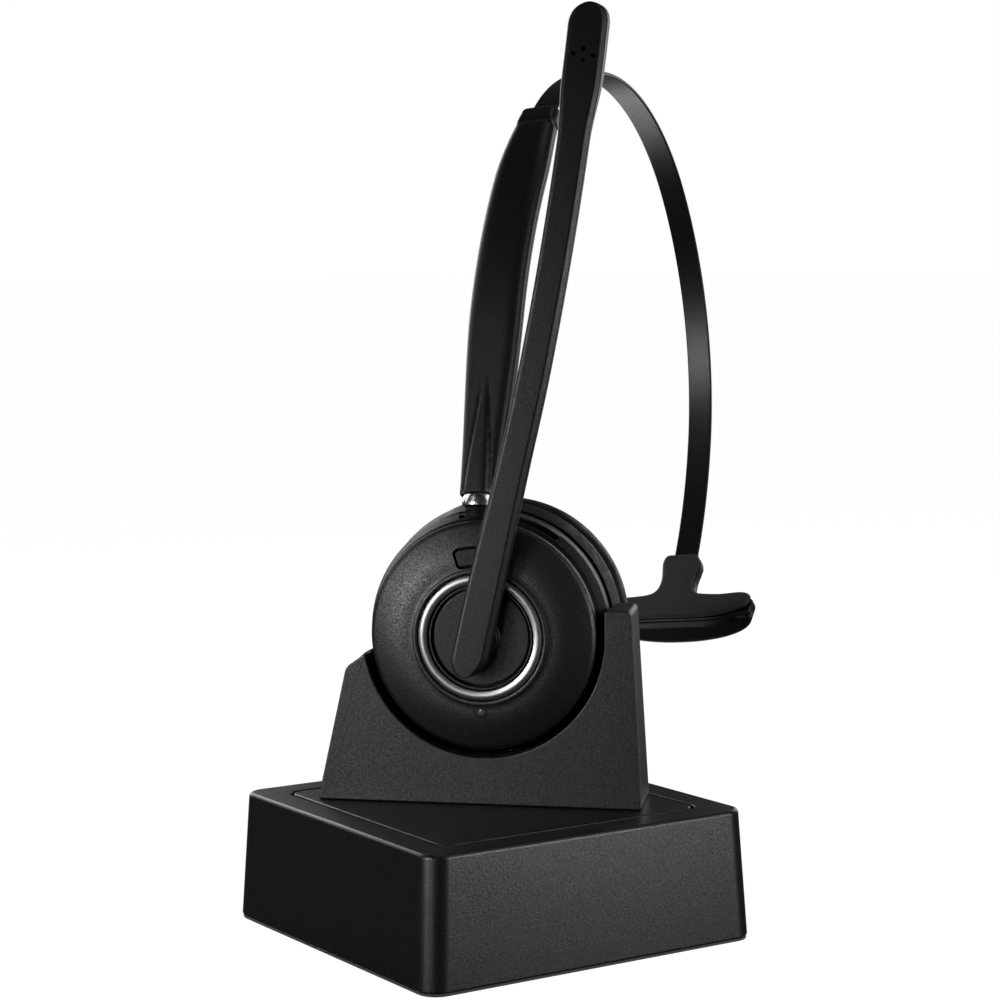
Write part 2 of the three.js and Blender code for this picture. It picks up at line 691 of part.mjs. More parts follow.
function hubDisc() {
  return turned([
    [AXLE_RADIUS + 0.15, -6.3], [HUB_RADIUS, -6.3], [HUB_RADIUS, -7.2], [HUB_RADIUS - 0.5, -7.6],
    [3.8, -7.6], [3.8, -9.2], [AXLE_RADIUS + 0.15, -9.2],
  ], 48);
}

function hubAxle() {
  return turned([[0, -9.1], [AXLE_RADIUS, -9.1], [AXLE_RADIUS, -0.9], [1.4, -0.9], [1.4, -0.2],
    [AXLE_RADIUS, -0.2], [AXLE_RADIUS, 0.4], [0, 0.4]], 24);
}

function clip() {
  return turned([[1.5, -0.8], [4, -0.8], [4, -0.3], [1.5, -0.3]], 24);
}

// --- assembly ---------------------------------------------------------------------

function part(name, geometry, material) {
  const flat = facingOut(geometry).toNonIndexed();
  flat.computeVertexNormals();
  const mesh = new THREE.Mesh(flat, material());
  mesh.name = name;
  return mesh;
}

function group(name, ...children) {
  const g = new THREE.Group();
  g.name = name;
  g.add(...children);
  return g;
}

function baseScrew(x, y, i) {
  return part(`base_screw_${i + 1}`, moved(screw(0.9, 9), { x, y }), bareSteel);
}

function cradleScrew(name, side) {
  const spot = { x: side * CRADLE_SCREW.x, y: CRADLE_SCREW.y };
  return part(name, moved(screw(CRADLE_SCREW.head, 10), spot), bareSteel);
}

const dock = group('dock',
  part('base_shell', baseShell(), satinBlack),
  part('top_plate', topPlate(), satinBlack),
  part('bottom_cover', bottomCover(), matteBlack),
  part('anti_slip_pad', slab(PAD, 4, 0, PAD_THICK), softBlack),
  part('ballast_plate', box(-27, 27, -28, 16, 3.5, 11), bareSteel),
  part('base_board', box(-19, 19, 19, 37.5, 10, 11.3), boardGreen),
  part('usb_inlet', usbInlet(), bareSteel),
  ...atCorners(SCREW_OUT, baseScrew));
dock.rotation.z = PI / 4;

const cradle = group('cradle',
  part('cradle_front', cradleFront(), satinBlack),
  part('cradle_rear', cradleRear(), satinBlack),
  part('charge_block', chargeBlock(), matteBlack),
  part('charge_pin_left', chargePin(-1), gold),
  part('charge_pin_right', chargePin(1), gold),
  cradleScrew('cradle_screw_left', -1),
  cradleScrew('cradle_screw_right', 1));

const cup = group('cup',
  part('front_plate', frontPlate(), matteBlack),
  part('trim_ring', trimRing(), silver),
  part('call_button', callButton(), satinBlack),
  part('led_window', ledWindow(), amber),
  part('mid_housing', midHousing(), matteBlack),
  part('charge_contact_left', chargeContact(-1), gold),
  part('charge_contact_right', chargeContact(1), gold),
  part('battery', box(-12, 12, 1, 4.1, -8.5, 8.5), cellGrey),
  part('headset_board', axial(17.5, 4.5, 5.5, 32), boardGreen),
  part('speaker_driver', driver(), bareSteel),
  part('baffle', baffle(), matteBlack),
  part('speaker_foam', speakerFoam(), softBlack),
  part('ear_cushion', earCushion(), leatherette));

const boom = group('boom',
  part('hub_disc', hubDisc(), slateBlack),
  part('hub_axle', hubAxle(), bareSteel),
  part('axle_clip', clip(), bareSteel),
  part('boom_outer', boomOuter(), slateBlack),
  part('boom_inner', boomInner(), slateBlack),
  part('mic_front', micCapsule(126.5, 1.5), gold),
  part('mic_rear', micCapsule(130, 2.9), gold));

const headband = group('headband',
  part('ferrule', ferrule(), chrome),
  part('arm_outer', armOuter(), satinBlack),
  part('arm_inner', armInner(), satinBlack),
  part('arm_cap', armCap(), satinBlack),
  part('band_strip', bandStrip(), springSteel),
  part('t_pad_core', padCore(), softBlack),
  part('t_pad_cushion', padCushion(), softBlack));
headband.rotation.z = -SWIVEL;

const leaning = group('leaning', part('carriage', carriage(), matteBlack), headband);
leaning.position.y = STEM_Y;
leaning.rotation.y = -LEAN;

const headset = group('headset', cup, boom, leaning);
headset.position.z = CUP_Z;

export default group('office_headset', dock, cradle, headset);
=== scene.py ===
import math

import bmesh
import bpy
import numpy as np
from mathutils import Matrix, Vector

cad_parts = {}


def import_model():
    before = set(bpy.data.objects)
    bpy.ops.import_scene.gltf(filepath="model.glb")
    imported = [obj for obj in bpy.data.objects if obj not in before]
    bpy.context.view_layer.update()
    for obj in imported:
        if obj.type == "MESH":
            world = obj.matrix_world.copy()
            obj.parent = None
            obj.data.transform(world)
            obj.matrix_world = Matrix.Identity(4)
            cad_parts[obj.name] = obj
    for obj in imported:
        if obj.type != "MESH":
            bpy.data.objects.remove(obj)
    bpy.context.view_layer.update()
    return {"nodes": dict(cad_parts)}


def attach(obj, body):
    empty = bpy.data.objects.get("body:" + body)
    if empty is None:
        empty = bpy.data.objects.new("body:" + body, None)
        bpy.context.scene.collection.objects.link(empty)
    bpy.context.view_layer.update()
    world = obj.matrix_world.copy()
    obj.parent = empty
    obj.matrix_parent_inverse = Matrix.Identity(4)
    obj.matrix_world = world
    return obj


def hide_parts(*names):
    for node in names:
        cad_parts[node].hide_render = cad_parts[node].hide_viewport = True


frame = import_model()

MM = 0.001
TURN = 2 * math.pi

# Dock
BASE_BOTTOM = 85
BASE_TOP = 82
BASE_HEIGHT = 29.2
BASE_CORNER = 4.7
SKIRT = 0.8
PLATE, PLATE_CORNER = 66.2, 3.2
GROOVE = 0.8
RIM_WIDE, RIM_SOFT, RIM_INNER = 84.5, 84.3, 83.4
INLET_Z, INLET_REACH, INLET_HALF = 13.2, 5, 2.1

# Cradle
CRADLE_FRONT = -6.3
CRADLE_PANEL = 1.5
CRADLE_REAR = 12.3
NECK_RADIUS = 27.3
POCKET_RADIUS = 28.3
REAR_LEAN = 0.075
SIDE_LEAN = 0.0015

# Ear cup
CUP_Z = 67.2
DISC_RADIUS = 25.5
DISC_LIP = 15.9
WELL_RADIUS = 11.2
HOUSING_RADIUS = 26.5
CONTACT_X, CONTACT_Y = 4, 7
PAD_RADIUS, PAD_SEAM = 27.6, 14.0
BUTTON_INNER, BUTTON_OUTER, BUTTON_HALF = 15.9, 19.9, math.radians(17.7)
LED_DROP = 16.5
WINDOW_FROM, WINDOW_TO = math.radians(-14), math.radians(37)

# Headband
STEM_Y, LEAN, SWIVEL = 4, 5, 13
ARCH_START = (-0.7, 27.0)
ARCH_LEAN = 23.6
# Stretches of the band's middle line, from the ferrule on: (length, radius of its bend or None).
ARCH = ((43, None), (58, 137), (103, 56.5), (70, 81), (60, 110))
ARM_FROM, ARM_TO = 3.3, 101
CAP_FROM, CAP_TO = 101.3, 107.1
RIB_TO = 34
BAND_FROM, BAND_END = 50.02, 319.6
BAND_HALF, BAND_HEAD_HALF, BAND_HEAD_TO = 3.3, 4.3, 54.2
PAD_AT = 314.7
PAD_TILT = 14

# Boom
BOOM_TIP, BOOM_TOP, BOOM_FRONT = -8.4, 138, -13.4
BOOM_SLOPE, BOOM_BEND, BOOM_BEND_FROM = 0.225, 0.00152, 45
BOW_DEPTH, BOW_FROM, BOW_OVER = 8, 43, 100
POD_FROM = 108
MIC_AT = 126.5

# Studio
ROOM_DIM, ROOM_FAR = 0.01, 0.08
CAMERA_AT = (0.1205, -0.5647, 0.1507)
CAMERA_RIGHT, CAMERA_UP = (0.9798, 0.2001, -0.0065), (-0.0122, 0.0922, 0.9957)
CAMERA_LENS = 93.81
CAMERA_SHIFT = (-0.0085, -0.0003)


def turn(axis, degrees):
    return Matrix.Rotation(math.radians(degrees), 4, axis)


def shift(x, y, z):
    return Matrix.Translation((x, y, z))


DOCK = turn("Z", 45)
CRADLE = Matrix.Identity(4)
CUP = shift(0, 0, CUP_Z)
LEANING = CUP @ shift(0, STEM_Y, 0) @ turn("Y", -LEAN)
HEADBAND = LEANING @ turn("Z", -SWIVEL)
POST = HEADBAND @ shift(0, *ARCH_START) @ turn("X", -ARCH_LEAN)


# --- shapes -------------------------------------------------------------------------


def steps(start, end, count):
    return [start + (end - start) * i / count for i in range(count + 1)]


def smooth(x, low, high):
    k = min(1.0, max(0.0, (x - low) / (high - low)))
    return k * k * (3 - 2 * k)


def loft(rings, loop=False):
    """Skins rings of equally many points; the ends are capped unless the rings close on themselves."""
    count = len(rings[0])
    points = [p for ring in rings for p in ring]
    faces = []
    for r in range(len(rings) if loop else len(rings) - 1):
        near, far = r * count, (r + 1) % len(rings) * count
        for i in range(count):
            j = (i + 1) % count
            faces.append((near + i, near + j, far + j, far + i))
    if not loop:
        faces.append(tuple(range(count)))
        faces.append(tuple(range(len(points) - count, len(points))))
    return points, faces


def rounded(corners, bend=5):
    """A closed outline with its corners softened; each corner is (a, b) or (a, b, radius)."""
    out = []
    for i, corner in enumerate(corners):
        radius = corner[2] if len(corner) > 2 else 0
        here = Vector(corner[:2])
        if radius <= 0:
            out.append(tuple(here))
            continue
        before = Vector(corners[i - 1][:2]) - here
        after = Vector(corners[(i + 1) % len(corners)][:2]) - here
        start = here + before.normalized() * min(radius, before.length * 0.49)
        end = here + after.normalized() * min(radius, after.length * 0.49)
        for t in steps(0, 1, bend):
            out.append(tuple(start.lerp(here, t).lerp(here.lerp(end, t), t)))
    return out


def inset(outline, amount):
    """The outline moved inward by the same amount everywhere."""
    p = np.array(outline, float)
    before, after = p - np.roll(p, 1, 0), np.roll(p, -1, 0) - p
    before /= np.linalg.norm(before, axis=1)[:, None] + 1e-12
    after /= np.linalg.norm(after, axis=1)[:, None] + 1e-12
    along = before + after
    along /= np.linalg.norm(along, axis=1)[:, None] + 1e-12
    normal = np.stack([-along[:, 1], along[:, 0]], 1)
    spread = np.clip(1 / np.maximum(0.5, np.sum(along * after, 1)), 1, 1.6)
    area = np.sum(p[:, 0] * np.roll(p[:, 1], -1) - np.roll(p[:, 0], -1) * p[:, 1])
    return p + normal * (amount * spread * np.sign(area))[:, None]


def facing_y(p, depth):
    return (p[0], depth, p[1])


def facing_z(p, depth):
    return (p[0], p[1], depth)


def slab(outline, low, high, low_edge, high_edge, lay=facing_y, bend=4):
    """An outline made thick between two depths, with quarter-round edges."""
    rings = []
    for a in steps(0, TURN / 4, bend):
        ring = inset(outline, low_edge * (1 - math.sin(a)))
        rings.append([lay(p, low + low_edge * (1 - math.cos(a))) for p in ring])
    for a in steps(TURN / 4, 0, bend):
        ring = inset(outline, high_edge * (1 - math.sin(a)))
        rings.append([lay(p, high - high_edge * (1 - math.cos(a))) for p in ring])
    return loft(rings)


def turned(profile, sides=128):
    """A closed profile of (radius, y) turned about the Y axis."""
    rings = []
    for i in range(sides):
        a = TURN * i / sides
        rings.append([(r * math.sin(a), y, r * math.cos(a)) for r, y in profile])
    return loft(rings, loop=True)


def turned_z(profile, sides=64):
    points, faces = turned(profile, sides)
    return [(x, z, y) for x, y, z in points], faces


def arc(radius, start, end, count):
    """Points on a circle in the XZ plane; angles run clockwise from straight up."""
    return [(radius * math.sin(a), radius * math.cos(a)) for a in steps(start, end, count)]


def corner_curve(start, corner, end, count=5):
    """The points between start and end on a curve that is pulled towards the corner."""
    a, b, c = Vector(start), Vector(corner), Vector(end)
    return [tuple(a.lerp(b, t).lerp(b.lerp(c, t), t)) for t in steps(0, 1, count)[1:-1]]


def sector(inner, outer, start, end, corner, count=24):
    """A stretch of a flat ring, seen from the front, with its four corners rounded."""
    def at(radius, angle):
        return (radius * math.sin(angle), radius * math.cos(angle))

    out, back = corner / outer, corner / inner
    outline = arc(outer, start + out, end - out, count)
    outline += corner_curve(at(outer, end - out), at(outer, end), at(outer - corner, end))
    outline += corner_curve(at(inner + corner, end), at(inner, end), at(inner, end - back))
    outline += arc(inner, end - back, start + back, count)
    outline += corner_curve(at(inner, start + back), at(inner, start), at(inner + corner, start))
    outline += corner_curve(at(outer - corner, start), at(outer, start), at(outer, start + out))
    return outline


def rounded_square(side, radius, bend=10):
    reach = side / 2 - radius
    points = []
    for k, (sx, sy) in enumerate(((1, 1), (-1, 1), (-1, -1), (1, -1))):
        for a in steps(k * TURN / 4, (k + 1) * TURN / 4, bend):
            points.append((sx * reach + radius * math.cos(a), sy * reach + radius * math.sin(a)))
    return points


def square_ring(side, radius, z):
    return [(x, y, z) for x, y in rounded_square(side, radius)]


# --- pieces -------------------------------------------------------------------------


def mesh_object(name, shape, place, scale=MM):
    points, faces = shape
    mesh = bpy.data.meshes.new(name)
    mesh.from_pydata([(place @ Vector(p)) * scale for p in points], [], faces)
    made = bmesh.new()
    made.from_mesh(mesh)
    bmesh.ops.remove_doubles(made, verts=made.verts, dist=0.002 * scale)
    bmesh.ops.dissolve_degenerate(made, dist=0.001 * scale, edges=made.edges)
    bmesh.ops.recalc_face_normals(made, faces=made.faces)
    made.to_mesh(mesh)
    made.free()
    obj = bpy.data.objects.new(name, mesh)
    bpy.context.scene.collection.objects.link(obj)
    return obj


def apply_modifiers(obj):
    bpy.context.view_layer.update()
    shaped = obj.evaluated_get(bpy.context.evaluated_depsgraph_get())
    mesh = bpy.data.meshes.new_from_object(shaped)
    obj.modifiers.clear()
    obj.data = mesh


def carve(obj, cutters):
    for cutter in cutters:
        cut = obj.modifiers.new("cut", "BOOLEAN")
        cut.operation = "DIFFERENCE"
        cut.solver = "EXACT"
        cut.object = cutter
    apply_modifiers(obj)
    for cutter in cutters:
        bpy.data.objects.remove(cutter)


def shade(obj, sharp=32):
    obj.data.shade_smooth()
    obj.data.set_sharp_from_angle(angle=math.radians(sharp))
    even = obj.modifiers.new("even shading", "WEIGHTED_NORMAL")
    even.keep_sharp = True
    even.weight = 60


def piece(name, shape, place, body, material, nodes=(), cutters=(), sharp=32):
    obj = mesh_object(name, shape, place) if isinstance(shape, tuple) else shape
    if cutters:
        carve(obj, cutters)
    shade(obj, sharp)
    obj.data.materials.clear()
    obj.data.materials.append(material)
    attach(obj, body)
    if nodes:
        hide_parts(*nodes)
    return obj


def dress(node, material, edge):
    """A CAD node that keeps its own shape gets softened edges and a finished material."""
    obj = frame["nodes"][node]
    obj.data.materials.clear()
    obj.data.materials.append(material)
    soft = obj.modifiers.new("soft edges", "BEVEL")
    soft.width = edge * MM
    soft.segments = 2
    soft.limit_method = "ANGLE"
    soft.angle_limit = math.radians(40)
    even = obj.modifiers.new("even shading", "WEIGHTED_NORMAL")
    even.weight = 60


# --- materials ----------------------------------------------------------------------


class Surface:
    """A Principled material with helpers for grain, mottling and wear. Scales are per metre."""

    def __init__(self, name, colour, roughness, metallic=0.0, specular=0.5):
        self.material = bpy.data.materials.new(name)
        self.material.use_nodes = True
        self.nodes = self.material.node_tree.nodes
        self.links = self.material.node_tree.links
        self.shader = self.nodes["Principled BSDF"]
        self.shader.inputs["Metallic"].default_value = metallic
        self.shader.inputs["Specular IOR Level"].default_value = specular
        self.place = self.nodes.new("ShaderNodeTexCoord").outputs["Object"]
        self.colour = self.fixed(colour)
        self.roughness = roughness
        self.normal = None

    def fixed(self, colour):
        node = self.nodes.new("ShaderNodeRGB")
        node.outputs[0].default_value = (*colour, 1)
        return node.outputs[0]

    def noise(self, scale, detail=2.0, stretch=(1, 1, 1)):
        mapping = self.nodes.new("ShaderNodeMapping")
        mapping.inputs["Scale"].default_value = stretch
        texture = self.nodes.new("ShaderNodeTexNoise")
        texture.inputs["Scale"].default_value = scale
        texture.inputs["Detail"].default_value = detail
        self.links.new(self.place, mapping.inputs["Vector"])
        self.links.new(mapping.outputs[0], texture.inputs["Vector"])
        return texture.outputs["Fac"]

    def cells(self, scale):
        """A net of cells, measured from each cell's edge."""
        texture = self.nodes.new("ShaderNodeTexVoronoi")
        texture.feature = "DISTANCE_TO_EDGE"
        texture.inputs["Scale"].default_value = scale
        self.links.new(self.place, texture.inputs["Vector"])
        return texture.outputs["Distance"]

    def spread(self, value, low, high, start=0.0, end=1.0):
        node = self.nodes.new("ShaderNodeMapRange")
        for socket, number in (("From Min", start), ("From Max", end), ("To Min", low), ("To Max", high)):
            node.inputs[socket].default_value = number
        self.links.new(value, node.inputs["Value"])
        return node.outputs[0]

    def mix(self, share, colour):
        """Blends another colour in by a share that varies over the surface."""
        node = self.nodes.new("ShaderNodeMix")
        node.data_type = "RGBA"
        self.links.new(share, node.inputs["Factor"])
        self.links.new(self.colour, node.inputs["A"])
        self.links.new(self.fixed(colour), node.inputs["B"])
        self.colour = node.outputs["Result"]

    def bump(self, height, strength, depth_mm):
        node = self.nodes.new("ShaderNodeBump")
        node.inputs["Strength"].default_value = strength
        node.inputs["Distance"].default_value = depth_mm * MM
        self.links.new(height, node.inputs["Height"])
        if self.normal:
            self.links.new(self.normal, node.inputs["Normal"])
        self.normal = node.outputs[0]

    def worn(self, colour, share=0.5):
        """Edges that hands and handling have polished."""
        edges = self.nodes.new("ShaderNodeNewGeometry").outputs["Pointiness"]
        self.mix(self.spread(edges, 0, share, 0.52, 0.62), colour)

    def done(self):
        self.links.new(self.colour, self.shader.inputs["Base Color"])
        if isinstance(self.roughness, float):
            self.shader.inputs["Roughness"].default_value = self.roughness
        else:
            self.links.new(self.roughness, self.shader.inputs["Roughness"])
        if self.normal:
            self.links.new(self.normal, self.shader.inputs["Normal"])
        return self.material


def moulded(name, colour, roughness, grain, grain_mm=0.4, specular=0.5):
    """Moulded plastic with a spark-eroded texture, faint mottling and lighter rubbed edges."""
    s = Surface(name, colour, roughness, specular=specular)
    s.mix(s.spread(s.noise(60, 3), 0, 0.5, 0.35, 0.75), [c * 1.35 for c in colour])
    s.worn([c * 2 + 0.002 for c in colour], 0.3)
    pits = s.noise(1 / (grain_mm * MM), 3)
    s.roughness = s.spread(pits, roughness + 0.07, roughness - 0.05, 0.3, 0.7)
    s.links.new(s.spread(pits, specular * (1 - grain), specular * (1 + grain), 0.32, 0.68),
                s.shader.inputs["Specular IOR Level"])
    s.bump(pits, grain, 0.08)
    s.bump(s.noise(0.5 / (grain_mm * MM), 1), grain * 0.4, 0.08)
    return s.done()


def metal(name, colour, roughness, stretch=(1, 1, 1), grain=0.15):
    """Metal with fine drawn or turned lines."""
    s = Surface(name, colour, roughness, metallic=1.0)
    lines = s.noise(2500, 3, stretch)
    s.mix(s.spread(s.noise(120, 2), 0, 0.35, 0.4, 0.8), [c * 0.72 for c in colour])
    s.roughness = s.spread(lines, max(0.02, roughness - 0.06), roughness + 0.08, 0.3, 0.7)
    s.bump(lines, grain, 0.02)
    return s.done()


def ring_brushed(name, colour, roughness, centre):
    """Circular brushing about the cup's axis: fine noise over the distance from the axis."""
    s = Surface(name, colour, roughness, metallic=1.0)
    offset = s.nodes.new("ShaderNodeVectorMath")
    offset.operation = "SUBTRACT"
    offset.inputs[1].default_value = centre
    s.links.new(s.place, offset.inputs[0])
    flat = s.nodes.new("ShaderNodeVectorMath")
    flat.operation = "MULTIPLY"
    flat.inputs[1].default_value = (1, 0, 1)
    s.links.new(offset.outputs[0], flat.inputs[0])
    far = s.nodes.new("ShaderNodeVectorMath")
    far.operation = "LENGTH"
    s.links.new(flat.outputs[0], far.inputs[0])
    texture = s.nodes.new("ShaderNodeTexNoise")
    texture.noise_dimensions = "1D"
    texture.inputs["Scale"].default_value = 9000
    texture.inputs["Detail"].default_value = 3
    s.links.new(far.outputs["Value"], texture.inputs["W"])
    s.roughness = s.spread(texture.outputs["Fac"], roughness - 0.08, roughness + 0.1, 0.3, 0.7)
    s.mix(s.spread(texture.outputs["Fac"], 0, 0.3, 0.4, 0.7), [c * 0.75 for c in colour])
    s.bump(texture.outputs["Fac"], 0.25, 0.01)
    return s.done()


def leather(name, colour):
    """Leatherette: pores between small cells, over soft creases."""
    s = Surface(name, colour, 0.5, specular=0.15)
    pores = s.cells(1500)
    s.mix(s.spread(s.noise(90, 3), 0, 0.6, 0.35, 0.75), [c * 1.7 for c in colour])
    s.mix(s.spread(pores, 0.5, 0, 0.0, 0.15), [c * 0.5 for c in colour])
    s.roughness = s.spread(s.noise(500, 3), 0.36, 0.56, 0.3, 0.7)
    s.bump(s.spread(pores, 0, 1, 0.0, 0.2), 0.35, 0.05)
    s.bump(s.noise(260, 4), 0.3, 0.15)
    s.shader.inputs["Sheen Weight"].default_value = 0.03
    s.shader.inputs["Sheen Roughness"].default_value = 0.4
    return s.done()


def soft_rubber(name, colour, roughness=0.72):
    """Matte rubber with a faint bloom and edges that wear lighter."""
    s = Surface(name, colour, roughness, specular=0.3)
    s.mix(s.spread(s.noise(45, 3), 0, 0.6, 0.35, 0.75), [c * 1.3 for c in colour])
    s.worn([c * 1.9 for c in colour], 0.35)
    s.roughness = s.spread(s.noise(700, 2), roughness - 0.06, roughness + 0.08, 0.3, 0.7)
    s.bump(s.noise(3000, 2), 0.2, 0.03)
    s.shader.inputs["Sheen Weight"].default_value = 0.03
    s.shader.inputs["Sheen Roughness"].default_value = 0.5
    return s.done()


def knitted(name, colour):
    """A fine knit over foam: two crossed waves of threads."""
    s = Surface(name, colour, 0.9, specular=0.2)
    heights = []
    for direction in ("X", "Z"):
        wave = s.nodes.new("ShaderNodeTexWave")
        wave.bands_direction = direction
        wave.inputs["Scale"].default_value = 420
        wave.inputs["Distortion"].default_value = 1.2
        wave.inputs["Detail"].default_value = 1
        s.links.new(s.place, wave.inputs["Vector"])
        heights.append(wave.outputs["Fac"])
    weave = s.nodes.new("ShaderNodeMath")
    weave.operation = "MAXIMUM"
    s.links.new(heights[0], weave.inputs[0])
    s.links.new(heights[1], weave.inputs[1])
    s.mix(s.spread(weave.outputs[0], 0.6, 0, 0.2, 0.9), [c * 0.35 for c in colour])
    s.bump(weave.outputs[0], 0.7, 0.12)
    s.shader.inputs["Sheen Weight"].default_value = 0.4
    return s.done()


def lens(name, colour):
    """Tinted clear plastic under a gloss."""
    s = Surface(name, colour, 0.12, specular=0.6)
    s.shader.inputs["Coat Weight"].default_value = 0.6
    s.mix(s.spread(s.noise(1500, 2), 0, 0.5, 0.4, 0.8), [c * 0.5 for c in colour])
    s.bump(s.noise(2000, 1), 0.1, 0.02)
    return s.done()


def board(name, colour):
    """Solder mask with copper tracks showing as a faint lighter net."""
    s = Surface(name, colour, 0.4)
    s.mix(s.spread(s.cells(450), 0.7, 0, 0.0, 0.12), [c * 1.8 for c in colour])
    s.roughness = s.spread(s.noise(800), 0.3, 0.5, 0.3, 0.7)
    s.bump(s.cells(450), 0.3, 0.05)
    return s.done()


BASE_BLACK = moulded("satin base plastic", (0.0036, 0.0037, 0.0042), 0.34, 0.35, 0.34)
RIM_GREY = moulded("cover rim plastic", (0.05, 0.05, 0.052), 0.5, 0.3)
CRADLE_BLACK = moulded("satin cradle plastic", (0.0045, 0.0046, 0.0052), 0.43, 0.4, 0.32)
DISC_BLACK = moulded("matte disc plastic", (0.0038, 0.0038, 0.0044), 0.44, 0.5, 0.32)
BUTTON_BLACK = moulded("satin button plastic", (0.0025, 0.0025, 0.003), 0.5, 0.5, 0.3, 0.3)
HOUSING_BLACK = moulded("matte housing plastic", (0.0026, 0.0026, 0.003), 0.5, 0.4, specular=0.12)
BOOM_SLATE = moulded("slate boom plastic", (0.0056, 0.0058, 0.0074), 0.42, 0.3, 0.32, 0.36)
ARM_BLACK = moulded("satin arm plastic", (0.0032, 0.0032, 0.0036), 0.42, 0.2, 0.3, 0.42)
BAND_BLACK = moulded("powder-coated band", (0.004, 0.004, 0.0045), 0.33, 0.2, 0.25, 0.3)
PAD_GREY = soft_rubber("warm pad rubber", (0.026, 0.0235, 0.0225))
# This black rubber also colours the ring that paints the shadow in the ear cup's groove.
PAD_BLACK_AND_GAP_SHADE = soft_rubber("black rim rubber and painted gap shadow", (0.002, 0.002, 0.0022), 0.42)
FOOT_RUBBER = soft_rubber("anti-slip rubber", (0.012, 0.012, 0.012), 0.8)
CUSHION_LEATHER = leather("ear leatherette", (0.0035, 0.0035, 0.0038))
FOAM_KNIT = knitted("foam knit", (0.018, 0.018, 0.018))
SILVER = ring_brushed("brushed silver", (0.38, 0.38, 0.395), 0.36, (0, 0, CUP_Z * MM))
CHROME = metal("chrome", (0.82, 0.82, 0.84), 0.2, grain=0.008)
STEEL = metal("plain steel", (0.45, 0.46, 0.48), 0.34, (1, 1, 6))
GOLD = metal("gold plate", (0.72, 0.5, 0.18), 0.24)
FOIL = metal("battery foil", (0.4, 0.42, 0.45), 0.4)
BOARD_GREEN = board("circuit board", (0.012, 0.07, 0.03))
AMBER = lens("amber lens", (0.16, 0.07, 0.02))


# --- dock ---------------------------------------------------------------------------


def base_shell():
    def side(z):
        return BASE_BOTTOM + (BASE_TOP - BASE_BOTTOM) * z / BASE_HEIGHT

    top_edge, foot_edge, lip_edge = 0.9, 0.4, 0.3
    mouth, mouth_corner = PLATE + 2 * GROOVE, 3.9
    floor = BASE_HEIGHT - 2.3
    rings = [square_ring(side(SKIRT) - 2 * foot_edge, BASE_CORNER - foot_edge, SKIRT),
             square_ring(side(SKIRT), BASE_CORNER, SKIRT + foot_edge)]
    for a in steps(0, TURN / 4, 5):
        pull = top_edge * (1 - math.cos(a))
        z = BASE_HEIGHT - top_edge * (1 - math.sin(a))
        rings.append(square_ring(side(z) - 2 * pull, BASE_CORNER - pull, z))
    for a in steps(TURN / 4, 0, 3):
        push = lip_edge * (1 - math.cos(a))
        z = BASE_HEIGHT - lip_edge * (1 - math.sin(a))
        rings.append(square_ring(mouth + 2 * push, mouth_corner + push, z))
    rings.append(square_ring(mouth, mouth_corner, floor))
    low, high = INLET_Z - INLET_HALF, INLET_Z + INLET_HALF
    hole = rounded([(-INLET_REACH, low, 1.9), (INLET_REACH, low, 1.9),
                    (INLET_REACH, high, 1.9), (-INLET_REACH, high, 1.9)])
    cutter = mesh_object("inlet hole", slab(hole, 32, 46, 0.01, 0.01), DOCK)
    piece("base_body", loft(rings), DOCK, "dock", BASE_BLACK, ["base_shell"], [cutter])


def top_plate():
    shape = slab(rounded_square(PLATE, PLATE_CORNER), BASE_HEIGHT - 2, BASE_HEIGHT, 0.1, 0.4, facing_z)
    piece("top_panel", shape, DOCK, "dock", BASE_BLACK, ["top_plate"])


def base_rim():
    """The edge of the bottom cover, which shows as a paler line under the walls."""
    rings = []
    for side, z in ((RIM_SOFT, 0.15), (RIM_WIDE, 0.3), (RIM_WIDE, 0.6), (RIM_SOFT, 0.72),
                    (RIM_INNER, 0.72), (RIM_INNER, 0.15)):
        rings.append(square_ring(side, BASE_CORNER - (BASE_BOTTOM - side) / 2, z))
    piece("base_rim", loft(rings, loop=True), DOCK, "dock", RIM_GREY)


def dock_hardware():
    dress("bottom_cover", HOUSING_BLACK, 0.25)
    dress("anti_slip_pad", FOOT_RUBBER, 0.3)
    dress("ballast_plate", STEEL, 0.4)
    dress("base_board", BOARD_GREEN, 0.1)
    dress("usb_inlet", STEEL, 0.1)
    dress("charge_block", HOUSING_BLACK, 0.3)
    for node in ("base_screw_1", "base_screw_2", "base_screw_3", "base_screw_4",
                 "cradle_screw_left", "cradle_screw_right"):
        dress(node, STEEL, 0.08)
    for node in ("charge_pin_left", "charge_pin_right"):
        dress(node, GOLD, 0.2)


# --- cradle -------------------------------------------------------------------------


def cradle_outline(neck):
    """The cradle seen from the front, round a neck of that radius."""
    foot, left_top, post_top, count = BASE_HEIGHT + 0.1, 62.6, 73.3, 72
    corners = [(-38.2, foot, 0.7), (35.4, foot, 0.7), (33.3, post_top, 1.4), (neck, post_top, 0.8)]
    start, end = TURN / 4, TURN * 0.75 - math.asin((CUP_Z - left_top) / neck)
    corners += [(x, CUP_Z + z) for x, z in arc(neck, start, end, count)[1:]]
    corners[-1] = (*corners[-1], 0.8)
    return rounded(corners + [(-31.4, 59.5, 1.2)], 4)


def cradle_front():
    shape = slab(cradle_outline(NECK_RADIUS), CRADLE_FRONT, CRADLE_FRONT + CRADLE_PANEL, 0.35, 0.1)
    piece("cradle_panel", shape, CRADLE, "dock", CRADLE_BLACK, ["cradle_front"])


